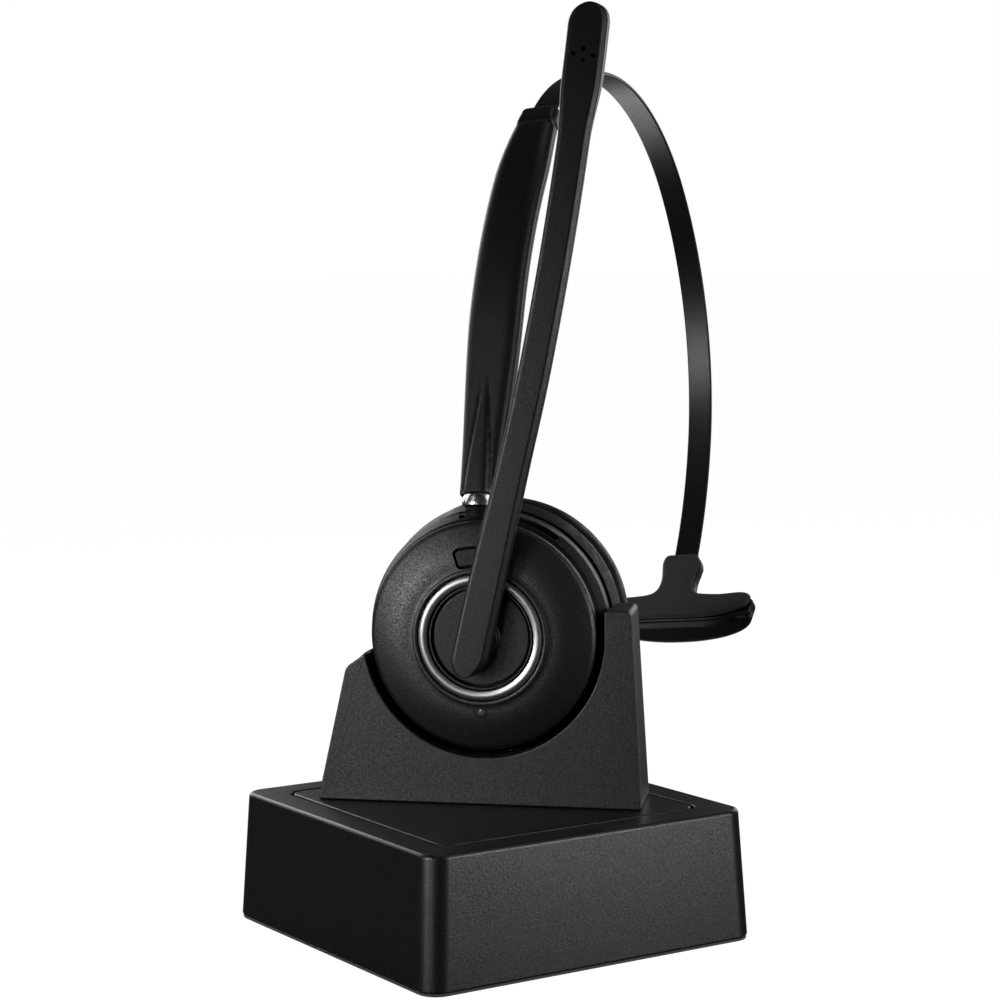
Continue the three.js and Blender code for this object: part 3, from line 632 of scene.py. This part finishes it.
def cradle_rear():
    front, pocket_front, seam, edge = CRADLE_FRONT + CRADLE_PANEL + 0.3, 0.0, 0.3, 0.9
    depth = CRADLE_REAR - front

    def leaned(p, y):
        share = (y - front) / depth
        return (p[0] * (1 - SIDE_LEAN * (y - front)), y - REAR_LEAN * (p[1] - BASE_HEIGHT) * share, p[1])

    neck, pocket = cradle_outline(NECK_RADIUS), cradle_outline(POCKET_RADIUS)
    rings = [[leaned(p, front) for p in inset(neck, seam)], [leaned(p, front + seam) for p in neck]]
    rings += [[leaned(p, pocket_front) for p in neck], [leaned(p, pocket_front + 0.02) for p in pocket]]
    for a in steps(TURN / 4, 0, 5):
        ring = inset(pocket, edge * (1 - math.sin(a)))
        rings.append([leaned(p, CRADLE_REAR - edge * (1 - math.cos(a))) for p in ring])
    window = rounded([(-8.4, 4.6, 1), (8.4, 4.6, 1), (8.4, 9.4, 1), (-8.4, 9.4, 1)])
    cutter = mesh_object("contact window", slab(window, 30, 45, 0.01, 0.01, facing_z), CRADLE)
    piece("cradle_shell", loft(rings), CRADLE, "dock", CRADLE_BLACK, ["cradle_rear"], [cutter])


# --- ear cup ------------------------------------------------------------------------


def disc_height(radius):
    """The domed front of the disc, from its lip out to its rim."""
    edge = DISC_RADIUS - 0.9
    k = (edge - radius) / (edge - DISC_LIP)
    return -6.3 - 2.3 * math.sin(min(1.0, max(0.0, k)) * TURN / 4)


def front_plate():
    face = [(r, disc_height(r)) for r in steps(DISC_RADIUS - 0.9, DISC_LIP, 14)]
    rim = [(DISC_RADIUS - 0.3, -3.6), (DISC_RADIUS, -3.9), (DISC_RADIUS, -5.35), (DISC_RADIUS - 0.08, -5.55),
           (DISC_RADIUS - 0.62, -6.1)]
    lip = [(15.35, -8.75), (15.2, -9.05), (14.95, -9.2), (14.5, -9.2), (14.3, -9.1), (14.2, -8.9), (14.2, -7)]
    well = [(11.7, -7), (11.65, -7.1), (11.65, -8.3), (11.55, -8.45), (11.3, -8.45), (WELL_RADIUS, -8.3),
            (WELL_RADIUS, -6), (2.3, -6), (2.3, -3.6)]
    gap = 0.4
    reach = BUTTON_HALF + gap / 18
    slot = sector(BUTTON_INNER - gap, BUTTON_OUTER + gap, -reach, reach, 1.5)
    cutter = mesh_object("button slot", slab(slot, -12, -5.4, 0.01, 0.1), CUP)
    piece("outer_disc", turned(rim + face + lip + well, 180), CUP, "ear_cup", DISC_BLACK,
          ["front_plate"], [cutter])


def call_button():
    outline = sector(BUTTON_INNER, BUTTON_OUTER, -BUTTON_HALF, BUTTON_HALF, 1.2)
    edge = 0.45
    layers = [[(x, -4.6, z) for x, z in outline]]
    for a in steps(TURN / 4, 0, 4):
        ring = inset(outline, edge * (1 - math.sin(a)))
        drop = edge * (1 - math.cos(a)) + 0.1
        layers.append([(x, disc_height(math.hypot(x, z)) + drop, z) for x, z in ring])
    piece("call_button_cap", loft(layers), CUP, "button", BUTTON_BLACK, ["call_button"])


def trim_ring():
    profile = rounded([(11.9, -7.2), (14.05, -7.2), (14.05, -8.8, 0.3), (13.1, -9.3, 1.4),
                       (11.9, -8.95, 0.3)], 6)
    piece("silver_ring", turned(profile, 192), CUP, "ear_cup", SILVER, ["trim_ring"])


def led_window():
    profile = [(0, -7), (1.05, -7), (1.05, -8.35), (0.85, -8.5), (0.45, -8.6), (0, -8.63)]
    place = CUP @ shift(0, 0, -LED_DROP)
    piece("led_lens", turned(profile, 32), place, "ear_cup", AMBER, ["led_window"])
    bezel = rounded([(1.15, -7.4), (1.55, -7.4), (1.55, -8.6, 0.15), (1.15, -8.6, 0.15)], 3)
    piece("led_bezel", turned(bezel, 32), place, "ear_cup", HOUSING_BLACK)


def mid_housing():
    profile = rounded([
        (2.3, -3.2), (25.3, -3.2, 0.3), (26.0, -2.4, 0.6), (27.1, 1.0, 1), (27.25, 1.7, 0.2),
        (HOUSING_RADIUS, 1.9, 0.1), (HOUSING_RADIUS, 12, 0.1), (25.9, 12, 0.1), (25.9, 4.6, 0.5),
        (24.5, -1, 0.3), (19.3, -1, 0.2), (19.3, 10.5, 0.2), (18.6, 10.5, 0.2), (18.6, -1, 0.2),
        (2.3, -1)], 4)
    window = sector(21.5, 32, WINDOW_FROM, WINDOW_TO, 0.8)
    cutter = mesh_object("stem window", slab(window, -1.6, 1.95, 0.2, 0.05), CUP)
    hole = turned_z([(0, -30), (1.7, -30), (1.7, -25), (0, -25)], 32)
    contacts = []
    for side in (-1, 1):
        place = CUP @ shift(CONTACT_X * side, CONTACT_Y, 0)
        contacts.append(mesh_object(f"contact hole {side}", hole, place))
    piece("cup_housing", turned(profile, 160), CUP, "ear_cup", HOUSING_BLACK,
          ["mid_housing"], [cutter, *contacts])


def cup_internals():
    dress("battery", FOIL, 0.5)
    dress("headset_board", BOARD_GREEN, 0.1)
    dress("speaker_driver", STEEL, 0.3)
    dress("charge_contact_left", GOLD, 0.15)
    dress("charge_contact_right", GOLD, 0.15)
    profile = rounded([(13.2, 10.8, 0.2), (24.8, 10.8, 0.3), (24.8, 12.3, 0.1), (27.4, 12.3, 0.2),
                       (27.4, 13.6, 0.2), (14.8, 13.6, 0.1), (14.8, 12.3, 0.1), (13.2, 12.3, 0.1)], 3)
    piece("baffle_ring", turned(profile), CUP, "ear_cup", HOUSING_BLACK, ["baffle"])


def cushion_profile():
    """The stuffed ring before it swells: flat on the baffle, seamed at its outer and inner edges."""
    bulge = PAD_RADIUS - 4.5
    outer = [(bulge + 4.5 * math.cos(a), 21.2 + 5.8 * math.sin(a))
             for a in steps(math.radians(-75), math.radians(70), 14)]
    crown = [(17.8 + 6.9 * math.cos(a), 24.2 + 5.2 * math.sin(a))
             for a in steps(math.radians(72), math.radians(165), 10)]
    base = [(radius, PAD_SEAM) for radius in (11.6, 15.5, 20.0, 23.6)]
    return base + outer + crown + [(11.5, 22.0), (11.5, 18.0)]


def ear_cushion():
    sides, profile = 144, cushion_profile()
    shape = turned(profile, sides)
    obj = mesh_object("ear_pad", shape, Matrix.Identity(4), scale=1)
    swell(obj, pinned=lambda x, y, z: y < 15.2 or math.hypot(x, z) < 12.2, cap=0.9)
    for vertex in obj.data.vertices:
        vertex.co = CUP @ vertex.co * MM
    soften = obj.modifiers.new("fine", "SUBSURF")
    soften.levels = soften.render_levels = 1
    apply_modifiers(obj)
    piece("ear_pad", obj, CUP, "ear_cup", CUSHION_LEATHER, ["ear_cushion"], sharp=80)
    cushion_trim()


def cushion_trim():
    """The turned-in skirt behind the ear pad, a black ring in front of it that paints the shadow in the gap
    there, and the seam's welt.
    """
    skirt = rounded([(27.05, 8.0, 0.2), (27.3, 7.8, 0.2), (27.8, 9.6, 1.4), (28.5, 13, 0.9),
                     (27.4, 14.6, 0.4), (27.05, 14.4, 0.1)], 5)
    piece("ear_pad_skirt", turned(skirt, 160), CUP, "ear_cup", CUSHION_LEATHER, sharp=80)
    # Painted shadow: a black rubber ring fills the groove between the housing and the skirt, standing in for
    # the shade in that gap.
    gap_shadow_ring = rounded([(26.52, 2.0), (26.8, 2.0, 0.1), (26.8, 8.2, 0.1), (26.52, 8.2)], 3)
    piece("housing_gap_shadow", turned(gap_shadow_ring, 160), CUP, "ear_cup", PAD_BLACK_AND_GAP_SHADE, sharp=80)
    welt = [(27.2 + 0.55 * math.cos(a), 15.6 + 0.55 * math.sin(a)) for a in steps(0, TURN, 10)[:-1]]
    piece("ear_pad_welt", turned(welt, 160), CUP, "ear_cup", CUSHION_LEATHER, sharp=80)


def swell(obj, pinned, cap):
    """Blows the mesh up a little as cloth, held at its seams, with each point's travel capped in mm."""
    grow, frames = 0.01, 20
    before = np.array([v.co for v in obj.data.vertices])
    for vertex in obj.data.vertices:
        vertex.co *= grow
    held = obj.vertex_groups.new(name="seams")
    held.add([i for i, p in enumerate(before) if pinned(*p)], 1.0, "REPLACE")
    cloth = obj.modifiers.new("swell", "CLOTH")
    cloth.settings.quality = 6
    cloth.settings.mass = 0.2
    cloth.settings.tension_stiffness = 12
    cloth.settings.compression_stiffness = 6
    cloth.settings.bending_stiffness = 0.02
    cloth.settings.use_pressure = True
    cloth.settings.uniform_pressure_force = 4
    cloth.settings.shrink_min = -0.05
    cloth.settings.vertex_group_mass = "seams"
    cloth.settings.effector_weights.gravity = 0
    cloth.point_cache.frame_end = frames
    scene = bpy.context.scene
    for frame_number in range(1, frames + 1):
        scene.frame_set(frame_number)
    shaped = obj.evaluated_get(bpy.context.evaluated_depsgraph_get())
    after = np.array([v.co for v in shaped.data.vertices]) / grow
    obj.modifiers.clear()
    travel = after - before
    far = np.linalg.norm(travel, axis=1)[:, None]
    travel *= np.minimum(1.0, cap / np.maximum(far, 1e-9))
    for vertex, place in zip(obj.data.vertices, before + travel):
        vertex.co = place
    obj.vertex_groups.clear()
    scene.frame_set(1)


def speaker_foam():
    profile = rounded([(0, 14), (11.1, 14, 0.2), (11.1, 26.3, 1.6), (8, 27.0, 3), (0, 27.3)], 5)
    piece("speaker_cloth", turned(profile, 96), CUP, "ear_cup", FOAM_KNIT, ["speaker_foam"])


# --- stem and headband --------------------------------------------------------------


def carriage():
    post = rounded([(0, -3.5), (2.5, -3.5, 0.2), (2.5, -2.6, 0.1), (3.3, -2.4, 0.3), (3.3, -1.0, 0.15),
                    (3.5, -0.9, 0.1), (3.5, 0.05, 0.15), (2.1, 0.1), (2.1, 14, 0.2), (0, 14)], 3)
    piece("stem_post", turned_z(post), POST, "pivot", HOUSING_BLACK, ["carriage"])
    ring = rounded([(19.6, 1.2, 0.2), (23.4, 1.2, 0.2), (23.4, 3.2, 0.2), (19.6, 3.2, 0.2)], 3)
    place = LEANING @ shift(0, -STEM_Y, 0)
    piece("pivot_ring", turned(ring), place, "pivot", HOUSING_BLACK)
    tab = slab(sector(22, 25.2, math.radians(-7.5), math.radians(7.5), 0.5), 0.8, 8, 0.3, 0.3)
    piece("pivot_tab", tab, place, "pivot", HOUSING_BLACK)


def ferrule():
    profile = rounded([(2.4, 0.3), (3.9, 0.3, 0.15), (4.1, 1.65, 1.0), (3.9, 3.0, 0.15), (2.4, 3.0)], 4)
    piece("chrome_ferrule", turned_z(profile, 96), POST, "arm", CHROME, ["ferrule"])


def arch_at(t):
    """How far inward and up the band's middle line is, t millimetres on, and how far it leans."""
    y, z = ARCH_START
    lean, left = math.radians(ARCH_LEAN), t
    for length, radius in ARCH:
        run = min(left, length)
        if radius is None:
            y += run * math.sin(lean)
            z += run * math.cos(lean)
        else:
            further = lean + run / radius
            y += radius * (math.cos(lean) - math.cos(further))
            z += radius * (math.sin(further) - math.sin(lean))
            lean = further
        left -= run
        if left <= 0:
            break
    return y, z, lean


def along_arch(t, section):
    """A section of (across, outward) points, placed at t on the arch."""
    y, z, lean = arch_at(t)
    return [(a, y - n * math.cos(lean), z + n * math.sin(lean)) for a, n in section]


def arm_half_width(t):
    """Half the arm's width at t: widest in the middle."""
    return 4.7 + 1.8 * smooth(t, 0, 48) - 1.6 * smooth(t, 84, 108.5)


def arm_slimness(t):
    return 1 - 0.1 * smooth(t, 92, 107.5)


def arm_section(t, side, depth, with_rib):
    """Half of the arm: a crowned back with soft shoulders, hollowed for the band."""
    half = arm_half_width(t)
    slim = arm_slimness(t)
    rib = 0.5 + 2.4 * (1 - smooth(t, ARM_FROM, RIB_TO + 2))
    top = []
    for k in steps(-1, 1, 40):
        a = half * math.sin(k * TURN / 4) if abs(k) < 1 else half * k
        shoulder = max(0.0, 1 - (abs(a) / half) ** 5.0) ** 0.5
        height = 0.1 + (depth * slim - 0.1) * (0.16 + 0.84 * shoulder)
        if with_rib and t < RIB_TO:
            round_top = math.sqrt(max(0.0, 1 - (a / rib) ** 2))
            rise = (3.9 - height) * (1 - smooth(t, ARM_FROM, RIB_TO)) * round_top
            groove = 0.3 * math.exp(-((abs(a) - rib - 0.2) / 0.35) ** 2) * smooth(RIB_TO - t, 0, 8)
            height += rise - groove
        top.append((a, height))
    wide = 4.6 if t < 80.5 else 3.6
    deep = 0.1 + 0.7 * smooth(t, 45, 46.5)
    hollow = [(wide, 0.1), (wide - 0.01, deep), (-wide + 0.01, deep), (-wide, 0.1)]
    if half < wide + 0.1:
        hollow = [(half * share, 0.1) for share in (0.8, 0.5, -0.5, -0.8)]
    return [(a, side * n) for a, n in top + [(half - 0.02, 0.1)] + hollow]


def arm_shell(name, node, side, depth, with_rib):
    stations = [3.35, 3.5, 3.8] + steps(4.5, 99, 110) + [100, 100.6, 100.9]
    rings = []
    for t in stations:
        from_end = min(t - ARM_FROM, ARM_TO - t)
        pinch = 0.35 * (1 - math.sqrt(max(0.0, min(1.0, from_end / 0.5))))
        ring = arm_section(t, side, depth - pinch, with_rib)
        narrow = 1 - pinch / arm_half_width(t)
        rings.append(along_arch(t, [(a * narrow, n) for a, n in ring]))
    piece(name, loft(rings), HEADBAND, "arm", ARM_BLACK, [node], sharp=40)


def arm_cap():
    outer, inner = [], []
    for t in [CAP_FROM, 101.5] + steps(102, 106, 8) + [106.5, 106.9, CAP_TO]:
        half, slim = arm_half_width(t), arm_slimness(t)
        from_end = min(t - CAP_FROM, CAP_TO - t) + 0.02
        pinch = 0.5 * (1 - math.sqrt(min(1.0, from_end / 0.9)))
        half -= pinch
        high, low = 2.9 * slim - pinch, 2.5 * slim - pinch
        section = rounded([(-half, -low * 0.5, 0.9), (-half + 0.9, -low, 0.6), (half - 0.9, -low, 0.6),
                           (half, -low * 0.5, 0.9), (half, high * 0.5, 0.9), (half - 0.9, high, 0.6),
                           (-half + 0.9, high, 0.6), (-half, high * 0.5, 0.9)], 3)
        hole = [(max(-3.6, min(3.6, a)), max(-0.75, min(0.75, n))) for a, n in section]
        outer.append(along_arch(t, section))
        inner.append(along_arch(t, hole))
    shape = loft(outer + inner[::-1], loop=True)
    piece("arm_tip", shape, HEADBAND, "arm", ARM_BLACK, ["arm_cap"], sharp=40)


def band_strip():
    """The band, with a wider head that stays inside the arm."""
    stations = [BAND_FROM, 50.3] + steps(51, 54, 4) + steps(54.4, BAND_END - 1.6, 170)
    rings = []
    for t in stations + [BAND_END - 1.2, BAND_END - 1]:
        half = BAND_HEAD_HALF if t < BAND_HEAD_TO else BAND_HALF
        section = rounded([(-half, -0.5, 0.42), (half, -0.5, 0.42), (half, 0.5, 0.42), (-half, 0.5, 0.42)], 4)
        rings.append(along_arch(t, section))
    piece("steel_band", loft(rings), HEADBAND, "band", BAND_BLACK,
          ["band_strip"], sharp=50)


def pad_place():
    y, z, lean = arch_at(PAD_AT)
    return HEADBAND @ shift(0, y, z) @ turn("X", 180 - math.degrees(lean))


def pad_outline():
    """The T: a collar, a neck and two wings, drawn across by up the band."""
    half = [(4.5, 5.6, 1.2), (5.3, 3.2, 1.2), (4.4, -2.5, 1.5), (5.2, -7.4, 3.2), (13, -8.2, 2),
            (19.5, -7.7, 1.5), (22.3, -8.8, 1.8), (21.8, -12.4, 2.0), (13, -15, 5)]
    return rounded(half + [(-x, z, r) for x, z, r in half[::-1]], 5)


def sculpt(name, shapes, voxel, change, place, relax=6):
    """Remeshes overlapping plain bodies as one, moves its points by a rule, and relaxes it."""
    points, faces = [], []
    for more, sides in shapes:
        faces += [tuple(i + len(points) for i in side) for side in sides]
        points += more
    obj = mesh_object(name, (points, faces), Matrix.Identity(4), scale=1)
    remesh = obj.modifiers.new("remesh", "REMESH")
    remesh.mode = "VOXEL"
    remesh.voxel_size = voxel
    relaxed = obj.modifiers.new("relax", "SMOOTH")
    relaxed.factor = 0.5
    relaxed.iterations = relax
    apply_modifiers(obj)
    for vertex in obj.data.vertices:
        vertex.co = place @ Vector(change(*vertex.co)) * MM
    return obj


def t_pad():
    place = pad_place()
    half, out, foot, top = 21.8, 7.7, -14.3, -8.9
    plan = [(half * math.cos(a), out * math.sin(a)) for a in steps(0, TURN / 2, 40)]
    points, faces = slab(plan + [(-half, -1.2), (half, -1.2)], foot, top, 1.0, 1.6, facing_z)
    sloped = shift(0, -1, foot) @ turn("X", -PAD_TILT) @ shift(0, 1, -foot)
    bar = ([tuple(sloped @ Vector(p)) for p in points], faces)
    plate = slab(pad_outline(), -1.6, 1.6, 0.3, 0.3)
    core = sculpt("t_pad_body", [bar, plate], 0.32, lambda x, y, z: (x, y, z), place)
    piece("t_pad_body", core, place, "band", PAD_BLACK_AND_GAP_SHADE, ["t_pad_core"], sharp=80)

    def dished(x, y, z):
        """The face is slightly hollow along the bar and fuller at its foot, to suit a head."""
        return (x, y - (0.5 * (x / half) ** 2 + 0.8) * smooth(-z, 3, 13), z)

    skin = sculpt("t_pad_face", [slab(pad_outline(), -3.7, -1.75, 1.3, 0.15)], 0.28, dished, place, 8)
    piece("t_pad_face", skin, place, "band", PAD_GREY, ["t_pad_cushion"], sharp=80)


# --- boom ---------------------------------------------------------------------------


def boom_line(z):
    """The middle of the boom's front face at a height: it leans right, bends back and bows away."""
    past, bow = max(0.0, z - BOOM_BEND_FROM), max(0.0, (z - BOW_FROM) / BOW_OVER)
    aside = 0.7 * (1 - smooth(z, 5, 60))
    return BOOM_SLOPE * z - BOOM_BEND * past * past / 2 - aside, BOOM_FRONT + BOW_DEPTH * bow * bow


def boom_half_width(z):
    shaft = 4.1 - 0.6 * smooth(z, 5, 45) + 0.85 * smooth(z, POD_FROM, POD_FROM + 14)
    tail = math.sqrt(max(0.0, 1 - max(0.0, (BOOM_TIP + 5 - z) / 5) ** 2))
    crown = math.sqrt(max(0.0, 1 - max(0.0, (z - BOOM_TOP + 5) / 5) ** 2.4))
    return max(0.25, shaft * tail * crown)


def boom_thickness(z):
    ends = math.sqrt(max(0.0, 1 - max(0.0, (BOOM_TIP + 2.4 - z) / 2.6) ** 2))
    return (3.9 - 0.9 * smooth(z, 10, 90) + 2 * smooth(z, POD_FROM, 124)) * (0.55 + 0.45 * ends)


def boom_stations():
    tail = [BOOM_TIP + 5 * (1 - math.cos(a)) for a in steps(0.05, TURN / 4, 10)]
    crown = [BOOM_TOP - 5 * (1 - math.cos(a)) for a in steps(TURN / 4, 0.05, 10)]
    return tail + steps(BOOM_TIP + 7, POD_FROM, 60)[:-1] + steps(POD_FROM, BOOM_TOP - 6, 20) + crown


def boom_half(name, node, front_share, back_share, front_edge, back_edge, cutters):
    """One half of the boom between two shares of its thickness, bevelled along its right edge."""
    rings = []
    for z in boom_stations():
        x, y = boom_line(z)
        half, thick = boom_half_width(z), boom_thickness(z)
        near, far = y + thick * front_share, y + thick * back_share
        soft, back = min(front_edge, half * 0.6), min(back_edge, half * 0.6)
        bevel = min(front_edge, half * 0.4)
        section = rounded([(-half, near, soft), (half - bevel, near, soft * 0.3),
                           (half, near + bevel * 0.9, soft * 0.3), (half, far, back), (-half, far, back)], 4)
        rings.append([(x + a, b, z) for a, b in section])
    piece(name, loft(rings), CUP, "boom", BOOM_SLATE, [node], cutters, sharp=40)


def boom():
    x, y = boom_line(MIC_AT)
    holes = []
    for dx, dz, radius in ((0, 1.4, 0.6), (-2.2, 0.4, 0.45), (2.1, -0.2, 0.45), (-0.1, -1.1, 0.45)):
        hole = [(0, -2), (radius, -2), (radius, 1.2), (0, 1.2)]
        holes.append(mesh_object("mic hole", turned(hole, 24), CUP @ shift(x + dx, y, MIC_AT + dz)))
    boom_half("boom_front", "boom_outer", 0, 0.52, 1.15, 0.12, holes)
    boom_half("boom_back", "boom_inner", 0.56, 1, 0.12, 0.9, [])
    profile = rounded([(2.15, -6.3), (10.9, -6.3, 0.1), (10.9, -7.6, 0.45), (4.2, -7.6, 0.3),
                       (3.8, -9.2, 0.2), (2.15, -9.2)], 4)
    piece("boom_hub", turned(profile), CUP, "boom", BOOM_SLATE, ["hub_disc"])
    dress("hub_axle", STEEL, 0.1)
    dress("axle_clip", STEEL, 0.08)
    dress("mic_front", GOLD, 0.1)
    dress("mic_rear", GOLD, 0.1)


# --- stage --------------------------------------------------------------------------


def camera():
    data = bpy.data.cameras.new("camera")
    data.lens = CAMERA_LENS
    data.sensor_width = 36
    data.shift_x, data.shift_y = CAMERA_SHIFT
    data.clip_start, data.clip_end = 0.01, 20
    obj = bpy.data.objects.new("camera", data)
    bpy.context.scene.collection.objects.link(obj)
    right, up = Vector(CAMERA_RIGHT), Vector(CAMERA_UP)
    turned_to = Matrix((right, up, right.cross(up))).transposed().to_4x4()
    obj.matrix_world = Matrix.Translation(CAMERA_AT) @ turned_to
    bpy.context.scene.camera = obj


def area_light(name, place, aim, width, height, radiance, beam=179):
    """A soft rectangle of light of that brightness, whose beam narrows to a cone of so many degrees."""
    data = bpy.data.lights.new(name, "AREA")
    data.shape = "RECTANGLE"
    data.size, data.size_y = width, height
    half = math.radians(beam) / 2
    share = math.sin(half) ** 2 - (half - math.sin(2 * half) / 2) / math.tan(half)
    data.energy = radiance * math.pi * width * height * share
    data.spread = 2 * half
    obj = bpy.data.objects.new(name, data)
    bpy.context.scene.collection.objects.link(obj)
    obj.visible_camera = False
    obj.location = place
    obj.rotation_mode = "QUATERNION"
    obj.rotation_quaternion = (Vector(aim) - Vector(place)).to_track_quat("-Z", "Z")


def world():
    """A pale backdrop to the eye; what the object mirrors is a dim room with a brighter far wall."""
    made = bpy.data.worlds.new("studio")
    bpy.context.scene.world = made
    made.use_nodes = True
    nodes, links = made.node_tree.nodes, made.node_tree.links
    direction = nodes.new("ShaderNodeTexCoord").outputs["Generated"]
    parts = nodes.new("ShaderNodeSeparateXYZ")
    links.new(direction, parts.inputs[0])
    far_wall = nodes.new("ShaderNodeMapRange")
    far_wall.interpolation_type = "SMOOTHSTEP"
    for socket, number in (("From Min", 0.2), ("From Max", 0.95), ("To Min", ROOM_DIM), ("To Max", ROOM_FAR)):
        far_wall.inputs[socket].default_value = number
    links.new(parts.outputs["Y"], far_wall.inputs["Value"])
    seen = nodes.new("ShaderNodeLightPath")
    mix = nodes.new("ShaderNodeMix")
    mix.data_type = "RGBA"
    mix.inputs["B"].default_value = (1, 1, 1, 1)
    links.new(far_wall.outputs[0], mix.inputs["A"])
    links.new(seen.outputs["Is Camera Ray"], mix.inputs["Factor"])
    links.new(mix.outputs["Result"], nodes["Background"].inputs["Color"])


def floor():
    """A plain pale table that glows evenly to the eye and bounces little light."""
    reach = 40
    mesh = bpy.data.meshes.new("floor")
    corners = [(reach * x, reach * y, 0) for x, y in ((-1, -1), (1, -1), (1, 1), (-1, 1))]
    mesh.from_pydata(corners, [], [(0, 1, 2, 3)])
    obj = bpy.data.objects.new("floor", mesh)
    bpy.context.scene.collection.objects.link(obj)
    s = Surface("pale floor", (0.8, 0.8, 0.8), 0.8)
    s.mix(s.spread(s.noise(3, 2), 0, 0.3), (0.76, 0.76, 0.76))
    material = s.done()
    glow = s.nodes.new("ShaderNodeEmission")
    glow.inputs["Strength"].default_value = 1.1
    dim = s.nodes.new("ShaderNodeBsdfDiffuse")
    dim.inputs["Color"].default_value = (0.1, 0.1, 0.1, 1)
    seen = s.nodes.new("ShaderNodeLightPath").outputs["Is Camera Ray"]
    pale = s.nodes.new("ShaderNodeMixShader")
    pale.inputs[0].default_value = 0.9
    s.links.new(s.shader.outputs[0], pale.inputs[1])
    s.links.new(glow.outputs[0], pale.inputs[2])
    choice = s.nodes.new("ShaderNodeMixShader")
    s.links.new(seen, choice.inputs[0])
    s.links.new(dim.outputs[0], choice.inputs[1])
    s.links.new(pale.outputs[0], choice.inputs[2])
    s.links.new(choice.outputs[0], s.nodes["Material Output"].inputs["Surface"])
    mesh.materials.append(material)


def lights():
    cup = (-0.01, 0, CUP_Z * MM)
    area_light("key", (-0.31, -0.38, 0.14), (-0.02, 0, 0.05), 0.2, 0.2, 24, 40)
    area_light("arm glow", (-0.33, -0.33, 0.46), (0, 0.01, 0.11), 0.2, 0.2, 0.5, 60)
    area_light("low front", (-0.17, -0.48, 0.055), (-0.045, 0, 0.045), 0.2, 0.1, 6.5, 34)
    area_light("right strip", (0.6, -0.15, 0.065), (0, 0, 0.02), 0.3, 0.12, 17)
    area_light("right high", (0.5, -0.1, 0.45), cup, 0.3, 0.3, 1.4)
    area_light("left high", (-0.55, 0.1, 0.35), cup, 0.35, 0.25, 1.3)
    area_light("back right", (0.25, 0.6, 0.2), cup, 0.4, 0.3, 2)
    area_light("back left", (-0.45, 0.5, 0.3), cup, 0.4, 0.3, 4)
    area_light("top", (0.1, 0.15, 0.8), (0, 0.05, 0.1), 0.4, 0.4, 0.6)
    area_light("floor glow", (-0.07, 0.24, 0.005), (-0.07, 0.239, 0.2), 0.2, 0.2, 4, 150)


def build():
    camera()
    world()
    lights()
    floor()
    base_shell()
    base_rim()
    top_plate()
    dock_hardware()
    cradle_front()
    cradle_rear()
    front_plate()
    call_button()
    trim_ring()
    led_window()
    mid_housing()
    cup_internals()
    ear_cushion()
    speaker_foam()
    carriage()
    ferrule()
    arm_shell("arm_front", "arm_outer", 1, 2.9, True)
    arm_shell("arm_back", "arm_inner", -1, 2.5, False)
    arm_cap()
    band_strip()
    t_pad()
    boom()
    bpy.context.scene.view_settings.view_transform = "Standard"


build()
